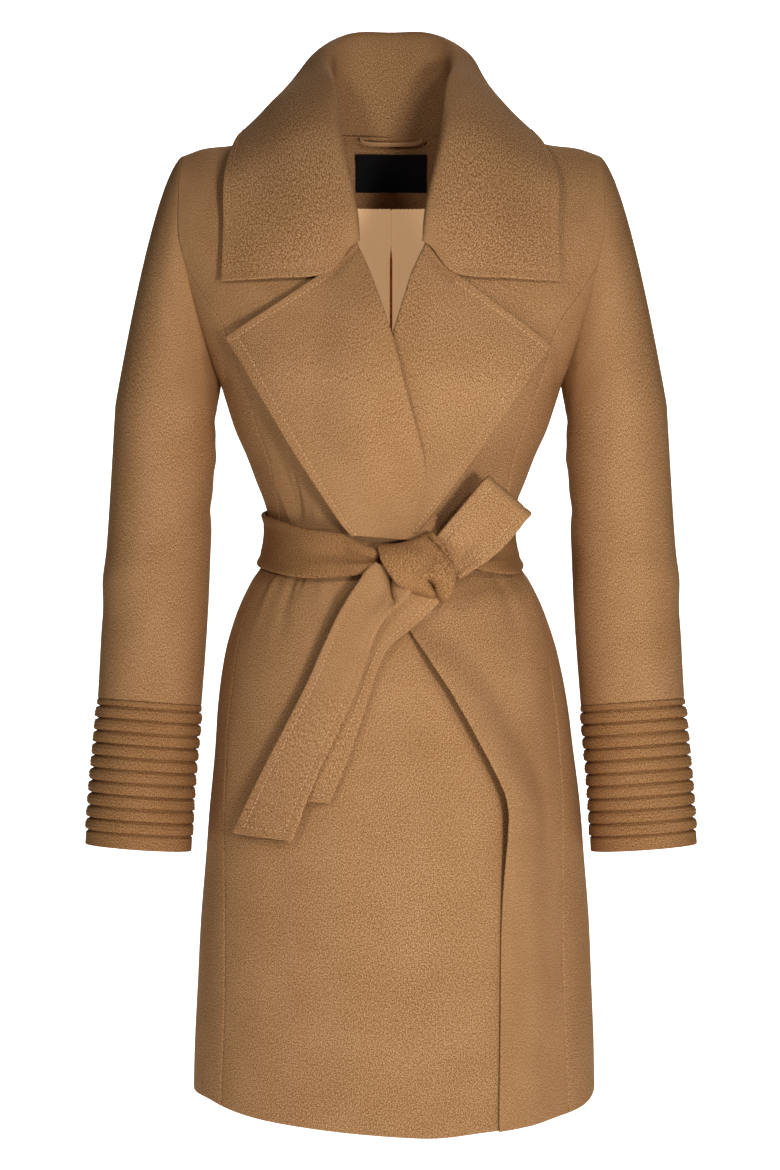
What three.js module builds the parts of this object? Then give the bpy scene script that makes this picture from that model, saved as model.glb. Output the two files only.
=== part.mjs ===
// Knee-length belted wrap coat in brushed wool, shown filled out with no wearer.
// Millimetres, +Z up, the front faces -Y, the wearer's right is -X.
// Zero is at the middle of the neck, level with the shoulder line.
import * as THREE from 'three';

// ---------------------------------------------------------------- sizes
const CLOTH = 2.5;          // one layer of coating wool
const DOUBLE = 3.4;         // lapels, collar: two layers sewn together
const BELT_CLOTH = 4.2;     // folded belt
const SEAM = 0.35;          // gap kept between neighbouring pieces
const HEM_Z = -886;        // at the side seams
const HEM_DROP = 17;        // how much lower the hem is at the front middle
const CHEST_Z = -226;       // height of the armpit
const SHOULDER_X = 195;
const ROUND = 2.4;          // squareness of a body ring (2 is an ellipse)
const ARM_FRONT = 52;       // how far the armhole reaches forward of the shoulder
const ARM_BACK = 50;
const SLEEVE_TOP_Z = -249;  // where the sleeve cap has become a plain tube
const CUFF_SEAM_Z = -527;
const CUFF_END_Z = -663;
const RIBS = 10;
const RIB_PITCH = 11.9;
const RIB_BULGE = 2.6;
const BELT_WIDTH = 52;
const LABEL = { width: 74, height: 38, thick: 0.9, top: -3 };

const WOOL = 0xa8794c;
const WOOL_DEEP = 0x97693f;
const LINING = 0xb48760;
const BLACK = 0x0b0b0c;

// ------------------------------------------------- shape of the body, by height
// half width, reach to the front and reach to the back of the ring at height z
const bodyRows = [
  { z: -904, half: 187.5, front: 138, back: 146 },
  { z: -766, half: 182.5, front: 137, back: 146 },
  { z: -649, half: 174.5, front: 134, back: 144 },
  { z: -578, half: 167.5, front: 131, back: 141 },
  { z: -531, half: 163, front: 129, back: 137 },
  { z: -484, half: 155, front: 126, back: 131 },
  { z: -461, half: 149, front: 123, back: 127 },
  { z: -437, half: 140.5, front: 119, back: 121 },
  { z: -414, half: 129, front: 114, back: 112 },
  { z: -396, half: 117, front: 110, back: 103 },
  { z: -367, half: 111.5, front: 108, back: 99 },
  { z: -343, half: 116.5, front: 110, back: 100 },
  { z: -320, half: 125.5, front: 113, back: 102 },
  { z: -296, half: 134.5, front: 117, back: 104 },
  { z: -273, half: 144.5, front: 121, back: 106 },
  { z: -249, half: 152.5, front: 125, back: 108 },
  { z: -226, half: 160, front: 128, back: 110 },
];
// half width between the armholes, above the armpit
const armholeRows = [
  { z: -226, half: 160 }, { z: -187, half: 172 }, { z: -152, half: 182 },
  { z: -113, half: 191 }, { z: -93, half: 195.5 }, { z: -47, half: 196 },
  { z: -16, half: 195 }, { z: 40, half: 195 },
];
// height of the shoulder seam, by the share of the half width
const shoulderRows = [
  { part: 0, z: 30 }, { part: 0.34, z: 17 }, { part: 0.75, z: -5 },
  { part: 0.9, z: -9 }, { part: 1, z: -16 },
];

// smooth curve through a column of a table sorted by its key
function lookUp(rows, key, column, at) {
  const first = rows[0][key];
  const last = rows[rows.length - 1][key];
  const up = last > first ? 1 : -1;
  if ((at - first) * up <= 0) return rows[0][column];
  if ((at - last) * up >= 0) return rows[rows.length - 1][column];
  let i = 0;
  while ((rows[i + 1][key] - at) * up < 0) i += 1;
  const slope = (k) => {
    const a = rows[Math.max(k - 1, 0)];
    const b = rows[Math.min(k + 1, rows.length - 1)];
    return (b[column] - a[column]) / (b[key] - a[key]);
  };
  const span = rows[i + 1][key] - rows[i][key];
  const t = (at - rows[i][key]) / span;
  const p = rows[i][column];
  const q = rows[i + 1][column];
  const h = t * t * (3 - 2 * t);
  const bendIn = t * (1 - t) * (1 - t) * span * slope(i);
  const bendOut = t * t * (1 - t) * span * slope(i + 1);
  return p + (q - p) * h + bendIn - bendOut;
}

const lerp = (a, b, t) => a + (b - a) * t;
const clamp = (t) => Math.min(1, Math.max(0, t));
const ease = (from, to, at) => {
  const t = clamp((at - from) / (to - from));
  return t * t * (3 - 2 * t);
};

const halfWidth = (z) => (z < CHEST_Z
  ? lookUp(bodyRows, 'z', 'half', z)
  : lookUp(armholeRows, 'z', 'half', z));
const shoulderZ = (part) => lookUp(shoulderRows, 'part', 'z', Math.abs(part));

// how far the cloth stands in front of (or behind) the shoulder line
function reach(part, z, behind) {
  const t = clamp((z - CHEST_Z) / (shoulderZ(part) - CHEST_Z));
  const roundness = Math.max(0, 1 - Math.abs(part) ** ROUND) ** lerp(0.5, 0.8, ease(0, 0.5, t));
  if (z <= CHEST_Z) {
    return lookUp(bodyRows, 'z', behind ? 'back' : 'front', z) * roundness;
  }
  const arm = (behind ? ARM_BACK : ARM_FRONT) * Math.sqrt(Math.max(0, Math.sin(Math.PI * t)));
  const middle = behind
    ? 110 * (1 - t ** 2.6) ** 0.526
    : 128 * (1 - t ** 1.6) ** 0.769;
  return arm + (middle - arm) * roundness;
}

// point of the body form: turn 0 front middle, 90 side, 180 back middle;
// level is the height, stretched above the chest so that 0 is the shoulder seam
function ringPoint(turn, level) {
  const a = turn * Math.PI / 180;
  const part = Math.sin(a);
  const behind = Math.cos(a) < 0;
  const drop = HEM_DROP * Math.max(0, Math.cos(a), -0.4 * Math.cos(a));
  let z = level - drop * ease(-640, HEM_Z, level);
  if (level > CHEST_Z) {
    z = CHEST_Z + (level - CHEST_Z) / -CHEST_Z * (shoulderZ(part) - CHEST_Z);
  }
  const x = halfWidth(z) * part;
  const y = reach(part, z, behind) * (behind ? 1 : -1);
  return [x, y, z];
}

// the same point moved off the body, square to it
function bodyPoint(turn, level, off = 0) {
  const p = ringPoint(turn, level);
  if (off === 0) return p;
  const lower = Math.min(level, -4);
  const round = (d) => new THREE.Vector3(...ringPoint(turn + d, lower));
  const tall = (d) => new THREE.Vector3(...ringPoint(turn, lower + d));
  const n = round(1).sub(round(-1)).cross(tall(3).sub(tall(-3))).normalize();
  return [p[0] + off * n.x, p[1] + off * n.y, p[2] + off * n.z];
}

// turn and level of a point given by x and z
const turnOf = (x, z) => {
  const part = Math.max(-1, Math.min(1, x / halfWidth(z)));
  return Math.asin(part) * 180 / Math.PI;
};
const levelOf = (x, z) => {
  if (z <= CHEST_Z) return z;
  const part = x / halfWidth(z);
  return CHEST_Z + (z - CHEST_Z) * -CHEST_Z / (shoulderZ(part) - CHEST_Z);
};
// points over the front and inside the back, at a given x and z
const frontPoint = (x, z, lift) => bodyPoint(turnOf(x, z), levelOf(x, z), lift);
const insidePoint = (x, z, inset) => bodyPoint(180 - turnOf(x, z), levelOf(x, z), -inset);

// ------------------------------------------------- closed cloth solids
const group = new THREE.Group();
group.name = 'wrap_coat';

function addSolid(name, colour, outer, inner, closed) {
  const rows = outer.length;
  const cols = outer[0].length;
  const points = [...outer.flat(), ...inner.flat()];
  const half = rows * cols;
  const index = [];
  const quad = (a, b, c, d) => index.push(a, b, c, a, c, d);
  const at = (i, j) => i * cols + (j % cols);
  const across = closed ? cols : cols - 1;
  for (let i = 0; i < rows - 1; i += 1) {
    for (let j = 0; j < across; j += 1) {
      quad(at(i, j), at(i, j + 1), at(i + 1, j + 1), at(i + 1, j));
      quad(half + at(i, j), half + at(i + 1, j), half + at(i + 1, j + 1), half + at(i, j + 1));
    }
  }
  for (let j = 0; j < across; j += 1) {
    quad(at(0, j + 1), at(0, j), half + at(0, j), half + at(0, j + 1));
    const r = rows - 1;
    quad(at(r, j), at(r, j + 1), half + at(r, j + 1), half + at(r, j));
  }
  if (!closed) {
    for (let i = 0; i < rows - 1; i += 1) {
      quad(at(i, 0), at(i + 1, 0), half + at(i + 1, 0), half + at(i, 0));
      const c = cols - 1;
      quad(at(i + 1, c), at(i, c), half + at(i, c), half + at(i + 1, c));
    }
  }
  const geometry = new THREE.BufferGeometry();
  geometry.setAttribute('position', new THREE.Float32BufferAttribute(points.flat(), 3));
  geometry.setIndex(index);
  geometry.computeVertexNormals();
  const volume = signedVolume(points, index);
  if (volume < 0) {
    for (let k = 0; k < index.length; k += 3) {
      const swap = index[k + 1];
      index[k + 1] = index[k + 2];
      index[k + 2] = swap;
    }
    geometry.setIndex(index);
    geometry.computeVertexNormals();
  }
  const material = new THREE.MeshStandardMaterial({ color: colour, roughness: 0.95 });
  material.name = `${name}_cloth`;
  const mesh = new THREE.Mesh(geometry, material);
  mesh.name = name;
  group.add(mesh);
  return mesh;
}

function signedVolume(points, index) {
  let sum = 0;
  for (let k = 0; k < index.length; k += 3) {
    const [a, b, c] = [points[index[k]], points[index[k + 1]], points[index[k + 2]]];
    sum += a[0] * (b[1] * c[2] - b[2] * c[1]);
    sum += a[1] * (b[2] * c[0] - b[0] * c[2]);
    sum += a[2] * (b[0] * c[1] - b[1] * c[0]);
  }
  return sum / 6;
}

// a sheet of cloth: point(u, v) gives its middle surface, thick its wall
function addSheet(name, colour, thick, columns, rows, point, closed = false) {
  const outer = [];
  const inner = [];
  const step = 1e-3;
  for (let i = 0; i <= rows; i += 1) {
    const outRow = [];
    const inRow = [];
    const last = closed ? columns - 1 : columns;
    for (let j = 0; j <= last; j += 1) {
      const u = j / columns;
      const v = i / rows;
      const p = new THREE.Vector3(...point(u, v));
      const u0 = closed ? u - step : Math.max(0, u - step);
      const u1 = closed ? u + step : Math.min(1, u + step);
      const v0 = Math.max(0, v - step);
      const v1 = Math.min(1, v + step);
      const du = new THREE.Vector3(...point(u1, v)).sub(new THREE.Vector3(...point(u0, v)));
      const dv = new THREE.Vector3(...point(u, v1)).sub(new THREE.Vector3(...point(u, v0)));
      const n = du.cross(dv).normalize().multiplyScalar(thick / 2);
      outRow.push([p.x + n.x, p.y + n.y, p.z + n.z]);
      inRow.push([p.x - n.x, p.y - n.y, p.z - n.z]);
    }
    outer.push(outRow);
    inner.push(inRow);
  }
  return addSolid(name, colour, outer, inner, closed);
}

// heights of the rows of a panel, closer together where it bends
const panelLevels = [HEM_Z, -760, -660, -600, -540, -490, -446, -433, -407, -394, -377,
  -345, -305, -265, CHEST_Z, -185, -144, -119, -82, -41, -11, 0];

function levelAt(levels, v) {
  const k = v * (levels.length - 1);
  const i = Math.min(levels.length - 2, Math.floor(k));
  return lerp(levels[i], levels[i + 1], k - i);
}
const clipLevels = (from, to) => [from,
  ...panelLevels.filter((z) => z > from + 4 && z < to - 4), to];

// ------------------------------------------------- seams and edges by level
// the long seam from the armhole over the bust to the hem (turn on the ring)
const bustSeamRows = [
  { z: -886, turn: 57 }, { z: -748, turn: 57 }, { z: -566, turn: 65 }, { z: -502, turn: 66 },
  { z: -430, turn: 69 }, { z: -396, turn: 69 }, { z: -345, turn: 62 }, { z: -305, turn: 57 },
  { z: -256, turn: 56.5 }, { z: -226, turn: 58.5 }, { z: -174, turn: 61 },
  { z: -145, turn: 70 }, { z: -118, turn: 82 },
];
// front edge of the wearer's right front: neck seam, roll line, then under the left front
const rightEdgeRows = [
  { level: 0, x: -66 }, { level: -11, x: -64 }, { level: -41, x: -57 }, { level: -82, x: -45 },
  { level: -119, x: -30 }, { level: -144, x: -19 }, { level: -193, x: 0 }, { level: -235, x: 13 },
  { level: -290, x: 28.5 }, { level: -341, x: 36.6 }, { level: -377, x: 44.5 },
  { level: -394, x: 38 }, { level: -407, x: 4 }, { level: -433, x: 4 }, { level: -446, x: 42 },
  { level: -470, x: 66 }, { level: -532, x: 92 }, { level: -600, x: 120 }, { level: -660, x: 130 },
  { level: -886, x: 128 },
];
// front edge of the wearer's left front: under the right one, then on top of it
const leftEdgeRows = [
  { level: 0, x: 66 }, { level: -11, x: 64 }, { level: -41, x: 57 }, { level: -82, x: 46 },
  { level: -119, x: 30 }, { level: -144, x: 18 }, { level: -193, x: 1 }, { level: -235, x: -6 },
  { level: -290, x: -11 }, { level: -341, x: -13 }, { level: -377, x: -12 },
  { level: -394, x: -6 }, { level: -407, x: 8.5 }, { level: -433, x: 8.5 }, { level: -446, x: 11 },
  { level: -470, x: 24 }, { level: -532, x: 58 }, { level: -583, x: 86 }, { level: -615, x: 95 },
  { level: -660, x: 94 }, { level: -886, x: 92 },
];

const lineUp = (rows, column, level) => {
  const i = rows.findIndex((row) => row.level <= level);
  if (i <= 0) return rows[i === 0 ? 0 : rows.length - 1][column];
  const a = rows[i - 1];
  const b = rows[i];
  return lerp(a[column], b[column], (level - a.level) / (b.level - a.level));
};

// lift of each front off the body: right over left above the belt, left over right below
const wrapLift = (level) => ease(-433, -407, level);
// 1 where the belt presses the layers together
const pressed = (level) => ease(-290, -340, level);
const rightLift = (x, level) => (
  lerp(11.4, 8.4, pressed(level)) * ease(-72, -16, x) * wrapLift(level)
  * ease(-120, -185, level));
const leftLift = (x, level) => (
  4.2 * ease(150, 118, x) * (1 - wrapLift(level))
  + 4 * ease(40, 0, x - lineUp(leftEdgeRows, 'x', level))
    * ease(-440, -500, level) * ease(-720, -600, level));

const sides = [
  { side: 'right', sign: -1, edge: rightEdgeRows, lift: rightLift },
  { side: 'left', sign: 1, edge: leftEdgeRows, lift: leftLift },
];

const bustTurn = (level) => (level > -118 ? 90 : lookUp(bustSeamRows, 'z', 'turn', level));

function addPanels({ side, sign, edge, lift }) {
  const gapTurn = SEAM / 2 / 150 * 180 / Math.PI;
  const frontLevels = clipLevels(HEM_Z, -0.012);
  const frontEnds = (level) => {
    const z = level > CHEST_Z ? level * 0.9 : level;
    const inner = turnOf(lineUp(edge, 'x', level), z);
    const armTurn = level > -118 ? 88.5 : bustTurn(level);
    return [inner, sign * (armTurn - gapTurn)];
  };
  addSheet(`${side}_front`, WOOL, CLOTH, 7, frontLevels.length - 1, (u, v) => {
    const level = levelAt(frontLevels, v);
    const [inner, outer] = frontEnds(level);
    const turn = lerp(inner, outer, u);
    const x = halfWidth(level) * Math.sin(turn * Math.PI / 180);
    return bodyPoint(turn, level, lift(x, level));
  });
  const sideLevels = clipLevels(HEM_Z, -126);
  addSheet(`${side}_side_front`, WOOL, CLOTH, 2, sideLevels.length - 1, (u, v) => {
    const level = levelAt(sideLevels, v);
    const outer = level > CHEST_Z ? 88.5 : 90 - gapTurn;
    return bodyPoint(sign * lerp(bustTurn(level) + gapTurn, outer, u), level);
  });
  const backLevels = clipLevels(HEM_Z, -0.012);
  addSheet(`${side}_back`, WOOL, CLOTH, 5, backLevels.length - 1, (u, v) => {
    const level = levelAt(backLevels, v);
    const outer = level > CHEST_Z ? 91.5 : 90 + gapTurn;
    const neck = ease(-34, 0, level) * 18.5;
    return bodyPoint(sign * lerp(180 - gapTurn - neck, outer, u), level);
  });
}
sides.forEach(addPanels);

// ------------------------------------------------- sleeves and ribbed cuffs
// middle, half width and half depth of the sleeve tube by height
const sleeveRows = [
  { z: -249, x: 211, y: 0, half: 46.5, deep: 62 },
  { z: -343, x: 216, y: -2, half: 46.8, deep: 58 },
  { z: -437, x: 220.5, y: -7, half: 48, deep: 55 },
  { z: -527, x: 225.5, y: -14, half: 49, deep: 52 },
  { z: -600, x: 232, y: -20, half: 49.5, deep: 51 },
  { z: -663, x: 236.5, y: -25, half: 50.5, deep: 51 },
];
function sleeveRing(angle, z, off = 0) {
  const get = (column) => lookUp(sleeveRows, 'z', column, z);
  const x = get('x') + (get('half') + off) * Math.cos(angle);
  return [x, get('y') - (get('deep') + off) * Math.sin(angle), z];
}
// the armhole as a closed loop, 0 at the shoulder point, pi at the armpit
function armhole(angle) {
  const t = (1 + Math.cos(angle)) / 2;
  const z = CHEST_Z + t * (shoulderZ(1) - CHEST_Z);
  const deep = Math.sin(angle) > 0 ? ARM_FRONT : ARM_BACK;
  const y = -Math.sign(Math.sin(angle)) * deep * Math.sqrt(Math.max(0, Math.sin(Math.PI * t)));
  return [halfWidth(z), y, z];
}
const CAP_SHARE = 0.42;
function sleevePoint(angle, s) {
  if (s >= CAP_SHARE) {
    const t = (s - CAP_SHARE) / (1 - CAP_SHARE);
    return sleeveRing(angle, lerp(SLEEVE_TOP_Z, CUFF_SEAM_Z + SEAM / 2, t));
  }
  const t = s / CAP_SHARE;
  const from = armhole(angle);
  from[0] += 2.7;
  from[2] -= 0.5;
  const to = sleeveRing(angle, SLEEVE_TOP_Z);
  const half = (1 - Math.cos(angle)) / 2;
  const bend = [
    lerp(from[0], to[0], 0.4), lerp(from[1], to[1], 0.5),
    lerp(from[2], to[2], lerp(0.09, 0.5, half)),
  ];
  return from.map((a, k) => (1 - t) ** 2 * a + 2 * t * (1 - t) * bend[k] + t * t * to[k]);
}
function ribBulge(z) {
  const down = CUFF_SEAM_Z - z;
  const ribsLong = RIBS * RIB_PITCH;
  if (down > ribsLong) return 0.6;
  return RIB_BULGE * Math.abs(Math.sin(Math.PI * down / RIB_PITCH)) ** 0.7;
}
function addSleeve({ side, sign }) {
  const around = 16;
  const mirror = (p) => [p[0] * sign, p[1], p[2]];
  addSheet(`${side}_sleeve`, WOOL_DEEP, CLOTH, around, 10, (u, v) => (
    mirror(sleevePoint(2 * Math.PI * u, v))), true);
  const heights = [];
  for (let k = 0; k < RIBS; k += 1) {
    heights.push(CUFF_SEAM_Z - SEAM - k * RIB_PITCH, CUFF_SEAM_Z - (k + 0.5) * RIB_PITCH);
  }
  heights.push(CUFF_SEAM_Z - RIBS * RIB_PITCH, CUFF_END_Z);
  const ring = (z, off) => {
    const row = [];
    for (let j = 0; j < around; j += 1) {
      row.push(mirror(sleeveRing(2 * Math.PI * j / around, z, off)));
    }
    return row;
  };
  const outer = heights.map((z) => ring(z, ribBulge(z) + CLOTH / 2));
  const inner = heights.map((z) => ring(z, -CLOTH / 2));
  addSolid(`${side}_ribbed_cuff`, WOOL_DEEP, outer, inner, true);
}
sides.forEach(addSleeve);

// ------------------------------------------------- lapels
// corners of each lapel (x, z), its gorge corner and its lower tip
const lapels = {
  right: {
    roll: [[-30, -108], [-19, -134], [0, -189], [13, -235], [28.5, -290], [36.6, -341], [44, -376]],
    gorge: [-53.6, -133.5], point: [-156, -187], tip: [-36, -368], own: rightLift,
  },
  left: {
    roll: [[30, -108], [18, -134], [1, -189], [-5, -235], [-10, -290], [-12, -341], [-11, -372]],
    gorge: [54.5, -135.5], point: [148.5, -193], tip: [22, -366], own: () => 0,
  },
};
function along(points, t) {
  const k = clamp(t) * (points.length - 1);
  const i = Math.min(points.length - 2, Math.floor(k));
  return points[i].map((a, n) => lerp(a, points[i + 1][n], k - i));
}
function lapelPoint({ roll, gorge, point, tip, own }, u, v) {
  const from = roll[0];
  const to = roll[roll.length - 1];
  const top = along([from, gorge, point].map((p) => [...p]), u < 0.24 ? u / 0.24 / 2
    : 0.5 + (u - 0.24) / 0.76 / 2);
  const bottom = [lerp(to[0], tip[0], u), lerp(to[1], tip[1], u)];
  const line = along(roll, v);
  const straight = [lerp(from[0], to[0], v), lerp(from[1], to[1], v)];
  const x = lerp(top[0], bottom[0], v) + (1 - u) * (line[0] - straight[0]);
  const z = lerp(top[1], bottom[1], v) + (1 - u) * (line[1] - straight[1]);
  const base = own(x, levelOf(x, z));
  const free = 1 - pressed(z);
  const roundEdge = 1.2 * Math.sin(Math.PI * Math.min(1, u * 1.15));
  return frontPoint(x, z, base + 4.1 + free * (0.6 + roundEdge + 3.2 * u));
}
sides.forEach(({ side }) => {
  addSheet(`${side}_lapel`, WOOL, DOUBLE, 6, 9, (u, v) => lapelPoint(lapels[side], u, v));
});

// ------------------------------------------------- collar
// half of the collar, a row per section from the back middle to the front end;
// behind the shoulder the points are x, y, z; in front they are x, z and lift
const collarBack = [
  { seam: [0, 56, 16], stand: [0, 64, 56], inside: [0, 70, 100], top: [0, 77, 113],
    outside: [0, 87, 102], fall: [0, 95, 72], low: [0, 101, 40], edge: [0, 107, 12] },
  { seam: [30, 52, 17], stand: [31, 60, 56], inside: [32, 65, 99], top: [35, 72, 112],
    outside: [41, 82, 101], fall: [47, 90, 70], low: [53, 97, 38], edge: [59, 103, 9] },
  { seam: [53, 38, 21], stand: [53, 45, 52], inside: [52, 48, 86], top: [58, 55, 99],
    outside: [68, 64, 89], fall: [79, 73, 60], low: [91, 80, 31], edge: [101, 87, 4] },
  { seam: [64, 18, 24], stand: [62, 21, 44], inside: [57, 22, 63], top: [62, 26, 76],
    outside: [75, 33, 70], fall: [95, 41, 47], low: [115, 48, 23], edge: [131, 54, 3] },
  { seam: [65, -6, 23], stand: [62, -9, 32], inside: [53, -12, 40], top: [54, -13, 50],
    outside: [67, -6, 50], fall: [95, 0, 35], low: [121, 4, 18], edge: [143, 6, 5] },
];
const collarFront = [
  { seam: [59, -8, 3.4], stand: [56, -5, 8], inside: [47, -8, 15], top: [45, -14, 21],
    outside: [54, -12, 27], fall: [86, -20, 24], low: [120, -32, 15], edge: [152, -44, 11] },
  { seam: [46, -66, 3.2], stand: [42, -68, 6], inside: [35, -71, 10], top: [32, -76, 14],
    outside: [39, -80, 18], fall: [76, -85, 17], low: [116, -88, 12], edge: [155, -90, 7.5] },
  { seam: [33.5, -99, 3.2], stand: [32.5, -100, 5], inside: [31, -102, 8], top: [29.5, -105, 11],
    outside: [35, -111, 13], fall: [54, -130.5, 12.5], low: [104, -133, 10.5],
    edge: [156, -132, 8] },
];
const collarColumns = ['seam', 'stand', 'inside', 'top', 'outside', 'fall', 'low', 'edge'];
const collarNet = [
  ...collarBack.map((row) => collarColumns.map((key) => row[key])),
  ...collarFront.map((row) => collarColumns.map((key) => frontPoint(...row[key]))),
];
const mirrored = (row) => row.map(([x, y, z]) => [-x, y, z]);
const collarWhole = [...collarNet.slice(1).reverse().map(mirrored), ...collarNet];

// smooth curve through points, t from 0 to 1
function curve(points, t) {
  const k = clamp(t) * (points.length - 1);
  const i = Math.min(points.length - 2, Math.floor(k));
  const f = k - i;
  const pick = (n) => points[Math.max(0, Math.min(points.length - 1, n))];
  const [a, b, c, d] = [pick(i - 1), pick(i), pick(i + 1), pick(i + 2)];
  return b.map((_, n) => 0.5 * (2 * b[n] + (c[n] - a[n]) * f
    + (2 * a[n] - 5 * b[n] + 4 * c[n] - d[n]) * f * f
    + (3 * b[n] - a[n] - 3 * c[n] + d[n]) * f * f * f));
}
addSheet('collar', WOOL, DOUBLE, 8, 22, (u, v) => (
  curve(collarWhole.map((row) => curve(row, u)), v)));

// ------------------------------------------------- inside of the neck
const FACING_LOW = -56;
addSheet('back_neck_facing', WOOL_DEEP, 1.6, 8, 3, (u, v) => {
  const x = lerp(-60, 60, u);
  const low = FACING_LOW + 6 * Math.abs(x / 60) ** 3;
  const high = 6 - 18 * Math.abs(x / 60) ** 2.5 * 0.4;
  return insidePoint(x, lerp(low, high, v), 6.6);
});
const liningHalf = (name, sign) => addSheet(name, LINING, 1, 4, 4, (u, v) => {
  const x = sign * lerp(1.2, 92, u);
  const high = FACING_LOW - 0.6 + 6 * Math.min(1, Math.abs(x / 60)) ** 3;
  const pleat = 3.4 * ease(20, 1, Math.abs(x)) * ease(-70, -100, lerp(high, -250, v));
  return insidePoint(x, lerp(high, -250, v), 6.6 + (sign > 0 ? pleat : -0.2 * pleat));
});
liningHalf('right_back_lining', -1);
liningHalf('left_back_lining', 1);
addSheet('neck_label', BLACK, LABEL.thick, 4, 2, (u, v) => (
  insidePoint(lerp(-0.5, 0.5, u) * LABEL.width, LABEL.top - LABEL.height * v, 9)));
const loopPath = [[-31, 1, 9.4], [-27, -1, 10.4], [-20, -1.6, 11.4], [0, -1.8, 11.6],
  [20, -1.6, 11.4], [27, -1, 10.4], [31, 1, 9.4]];
addSheet('hanger_loop', LINING, 1.2, 1, 10, (u, v) => {
  const [x, z, inset] = curve(loopPath, v);
  return insidePoint(x, z + 4.5 * (u - 0.5) + 3, inset);
});

// ------------------------------------------------- belt
// middle height, half width and lift of the belt round the waist
const beltRows = [
  { turn: -180, z: -371, half: 26, lift: 5.6 }, { turn: -135, z: -371, half: 26, lift: 5.6 },
  { turn: -90, z: -375, half: 26.5, lift: 6 }, { turn: -60, z: -380, half: 26, lift: 7.5 },
  { turn: -38, z: -386, half: 24.5, lift: 12 }, { turn: -20, z: -389, half: 20, lift: 17 },
  { turn: -7, z: -393, half: 10, lift: 28 },
  { turn: 27, z: -389, half: 12.5, lift: 27 }, { turn: 38, z: -389, half: 18, lift: 19 },
  { turn: 60, z: -388, half: 23, lift: 9 }, { turn: 90, z: -386, half: 25.5, lift: 6 },
  { turn: 135, z: -376, half: 26, lift: 5.6 }, { turn: 180, z: -371, half: 26, lift: 5.6 },
];
function beltPoint(turn, share) {
  const get = (column) => lookUp(beltRows, 'turn', column, turn);
  const z = get('z') + (share - 0.5) * 2 * get('half');
  return bodyPoint(turn, z, get('lift'));
}
addSheet('belt_right_stretch', WOOL_DEEP, BELT_CLOTH, 3, 18, (u, v) => (
  beltPoint(lerp(-5, -179.85, v), u)));
addSheet('belt_left_stretch', WOOL_DEEP, BELT_CLOTH, 3, 18, (u, v) => (
  beltPoint(lerp(26, 179.85, v), u)));

// hanging ends of the tied belt: the two edges of each section (x, z) and its lift
function tail(name, rows, columns, count) {
  const path = rows.map((row) => [row.leftX, row.leftZ, row.rightX, row.rightZ, row.lift]);
  addSheet(name, WOOL_DEEP, BELT_CLOTH, columns, count, (u, v) => {
    const [leftX, leftZ, rightX, rightZ, lift] = curve(path, v);
    return frontPoint(lerp(leftX, rightX, u), lerp(leftZ, rightZ, u), lift);
  });
}
tail('belt_front_tail', [
  { leftX: -27, leftZ: -411, rightX: 12, rightZ: -432, lift: 25 },
  { leftX: -46, leftZ: -439, rightX: -5, rightZ: -451, lift: 23 },
  { leftX: -64, leftZ: -472, rightX: -21, rightZ: -483, lift: 21 },
  { leftX: -81, leftZ: -506, rightX: -37, rightZ: -515, lift: 20 },
  { leftX: -113, leftZ: -572, rightX: -62, rightZ: -578, lift: 18.5 },
  { leftX: -143, leftZ: -637, rightX: -88, rightZ: -639, lift: 17.5 },
], 3, 12);
tail('belt_rear_tail', [
  { leftX: -4, leftZ: -424, rightX: 35, rightZ: -430, lift: 15 },
  { leftX: -20, leftZ: -440, rightX: 19, rightZ: -453, lift: 13.5 },
  { leftX: -42, leftZ: -462, rightX: -3, rightZ: -472, lift: 12.5 },
  { leftX: -66, leftZ: -512, rightX: -18, rightZ: -522, lift: 12 },
  { leftX: -86, leftZ: -562, rightX: -37, rightZ: -570, lift: 11.5 },
  { leftX: -106, leftZ: -604, rightX: -56, rightZ: -605, lift: 11 },
], 3, 12);

// folded end of the half bow: out from the knot, over the fold and back behind
const BOW = { x: 58, z: -384, length: 68, tilt: 46, half: 24, gape: 6.5, lift: 34 };
addSheet('belt_bow_loop', WOOL_DEEP, BELT_CLOTH, 3, 16, (u, v) => {
  const a = BOW.tilt * Math.PI / 180;
  const turn = clamp((v - 0.42) / 0.16) * Math.PI;
  const outward = v < 0.5 ? v / 0.5 : (1 - v) / 0.5;
  const reachOut = BOW.length * Math.min(1, outward / 0.84)
    + BOW.gape * Math.sin(turn);
  const depth = BOW.gape * (Math.cos(turn) * (0.75 + 0.25 * Math.min(1, outward)));
  const half = lerp(BOW.half * 0.72, BOW.half + 2, Math.min(1, outward / 0.84));
  const across = (u - 0.5) * 2 * half;
  const x = BOW.x + reachOut * Math.cos(a) - across * Math.sin(a) * 0.95;
  const z = BOW.z + reachOut * Math.sin(a) + across * Math.cos(a);
  return [x, -reach(0.35, -380, false) - BOW.lift - depth, z];
});

// the knot: a band wrapped once round the crossing of the belt
const KNOT = { x: 22, z: -396, half: 31, high: 22, deep: 14, lift: 29, shear: 0.5 };
addSheet('belt_knot', WOOL_DEEP, BELT_CLOTH, 14, 5, (u, v) => {
  const a = 2 * Math.PI * u;
  const w = 2 * v - 1;
  const swell = 1 - 0.22 * w * w;
  const up = KNOT.high * swell * Math.sin(a);
  const out = KNOT.deep * swell * Math.cos(a);
  const x = KNOT.x + w * KNOT.half - up * KNOT.shear;
  const z = KNOT.z + up - 4 * w;
  return [x, -reach(0.2, -385, false) - KNOT.lift - out, z];
}, true);

export default group;
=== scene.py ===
# %% [markdown]
# # A belted wrap coat in brushed wool
# The coat is a hollow form of thick, soft cloth. It could be modelled by hand or
# simulated, but a coat is cut from flat pieces that follow one body form, so here
# every piece is worked out from the same form: a stack of rings from hem to
# shoulder. Each piece is a grid of points on that form, moved out by its layer,
# and then given a wall whose edges are turned in softly like sewn cloth.

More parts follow.
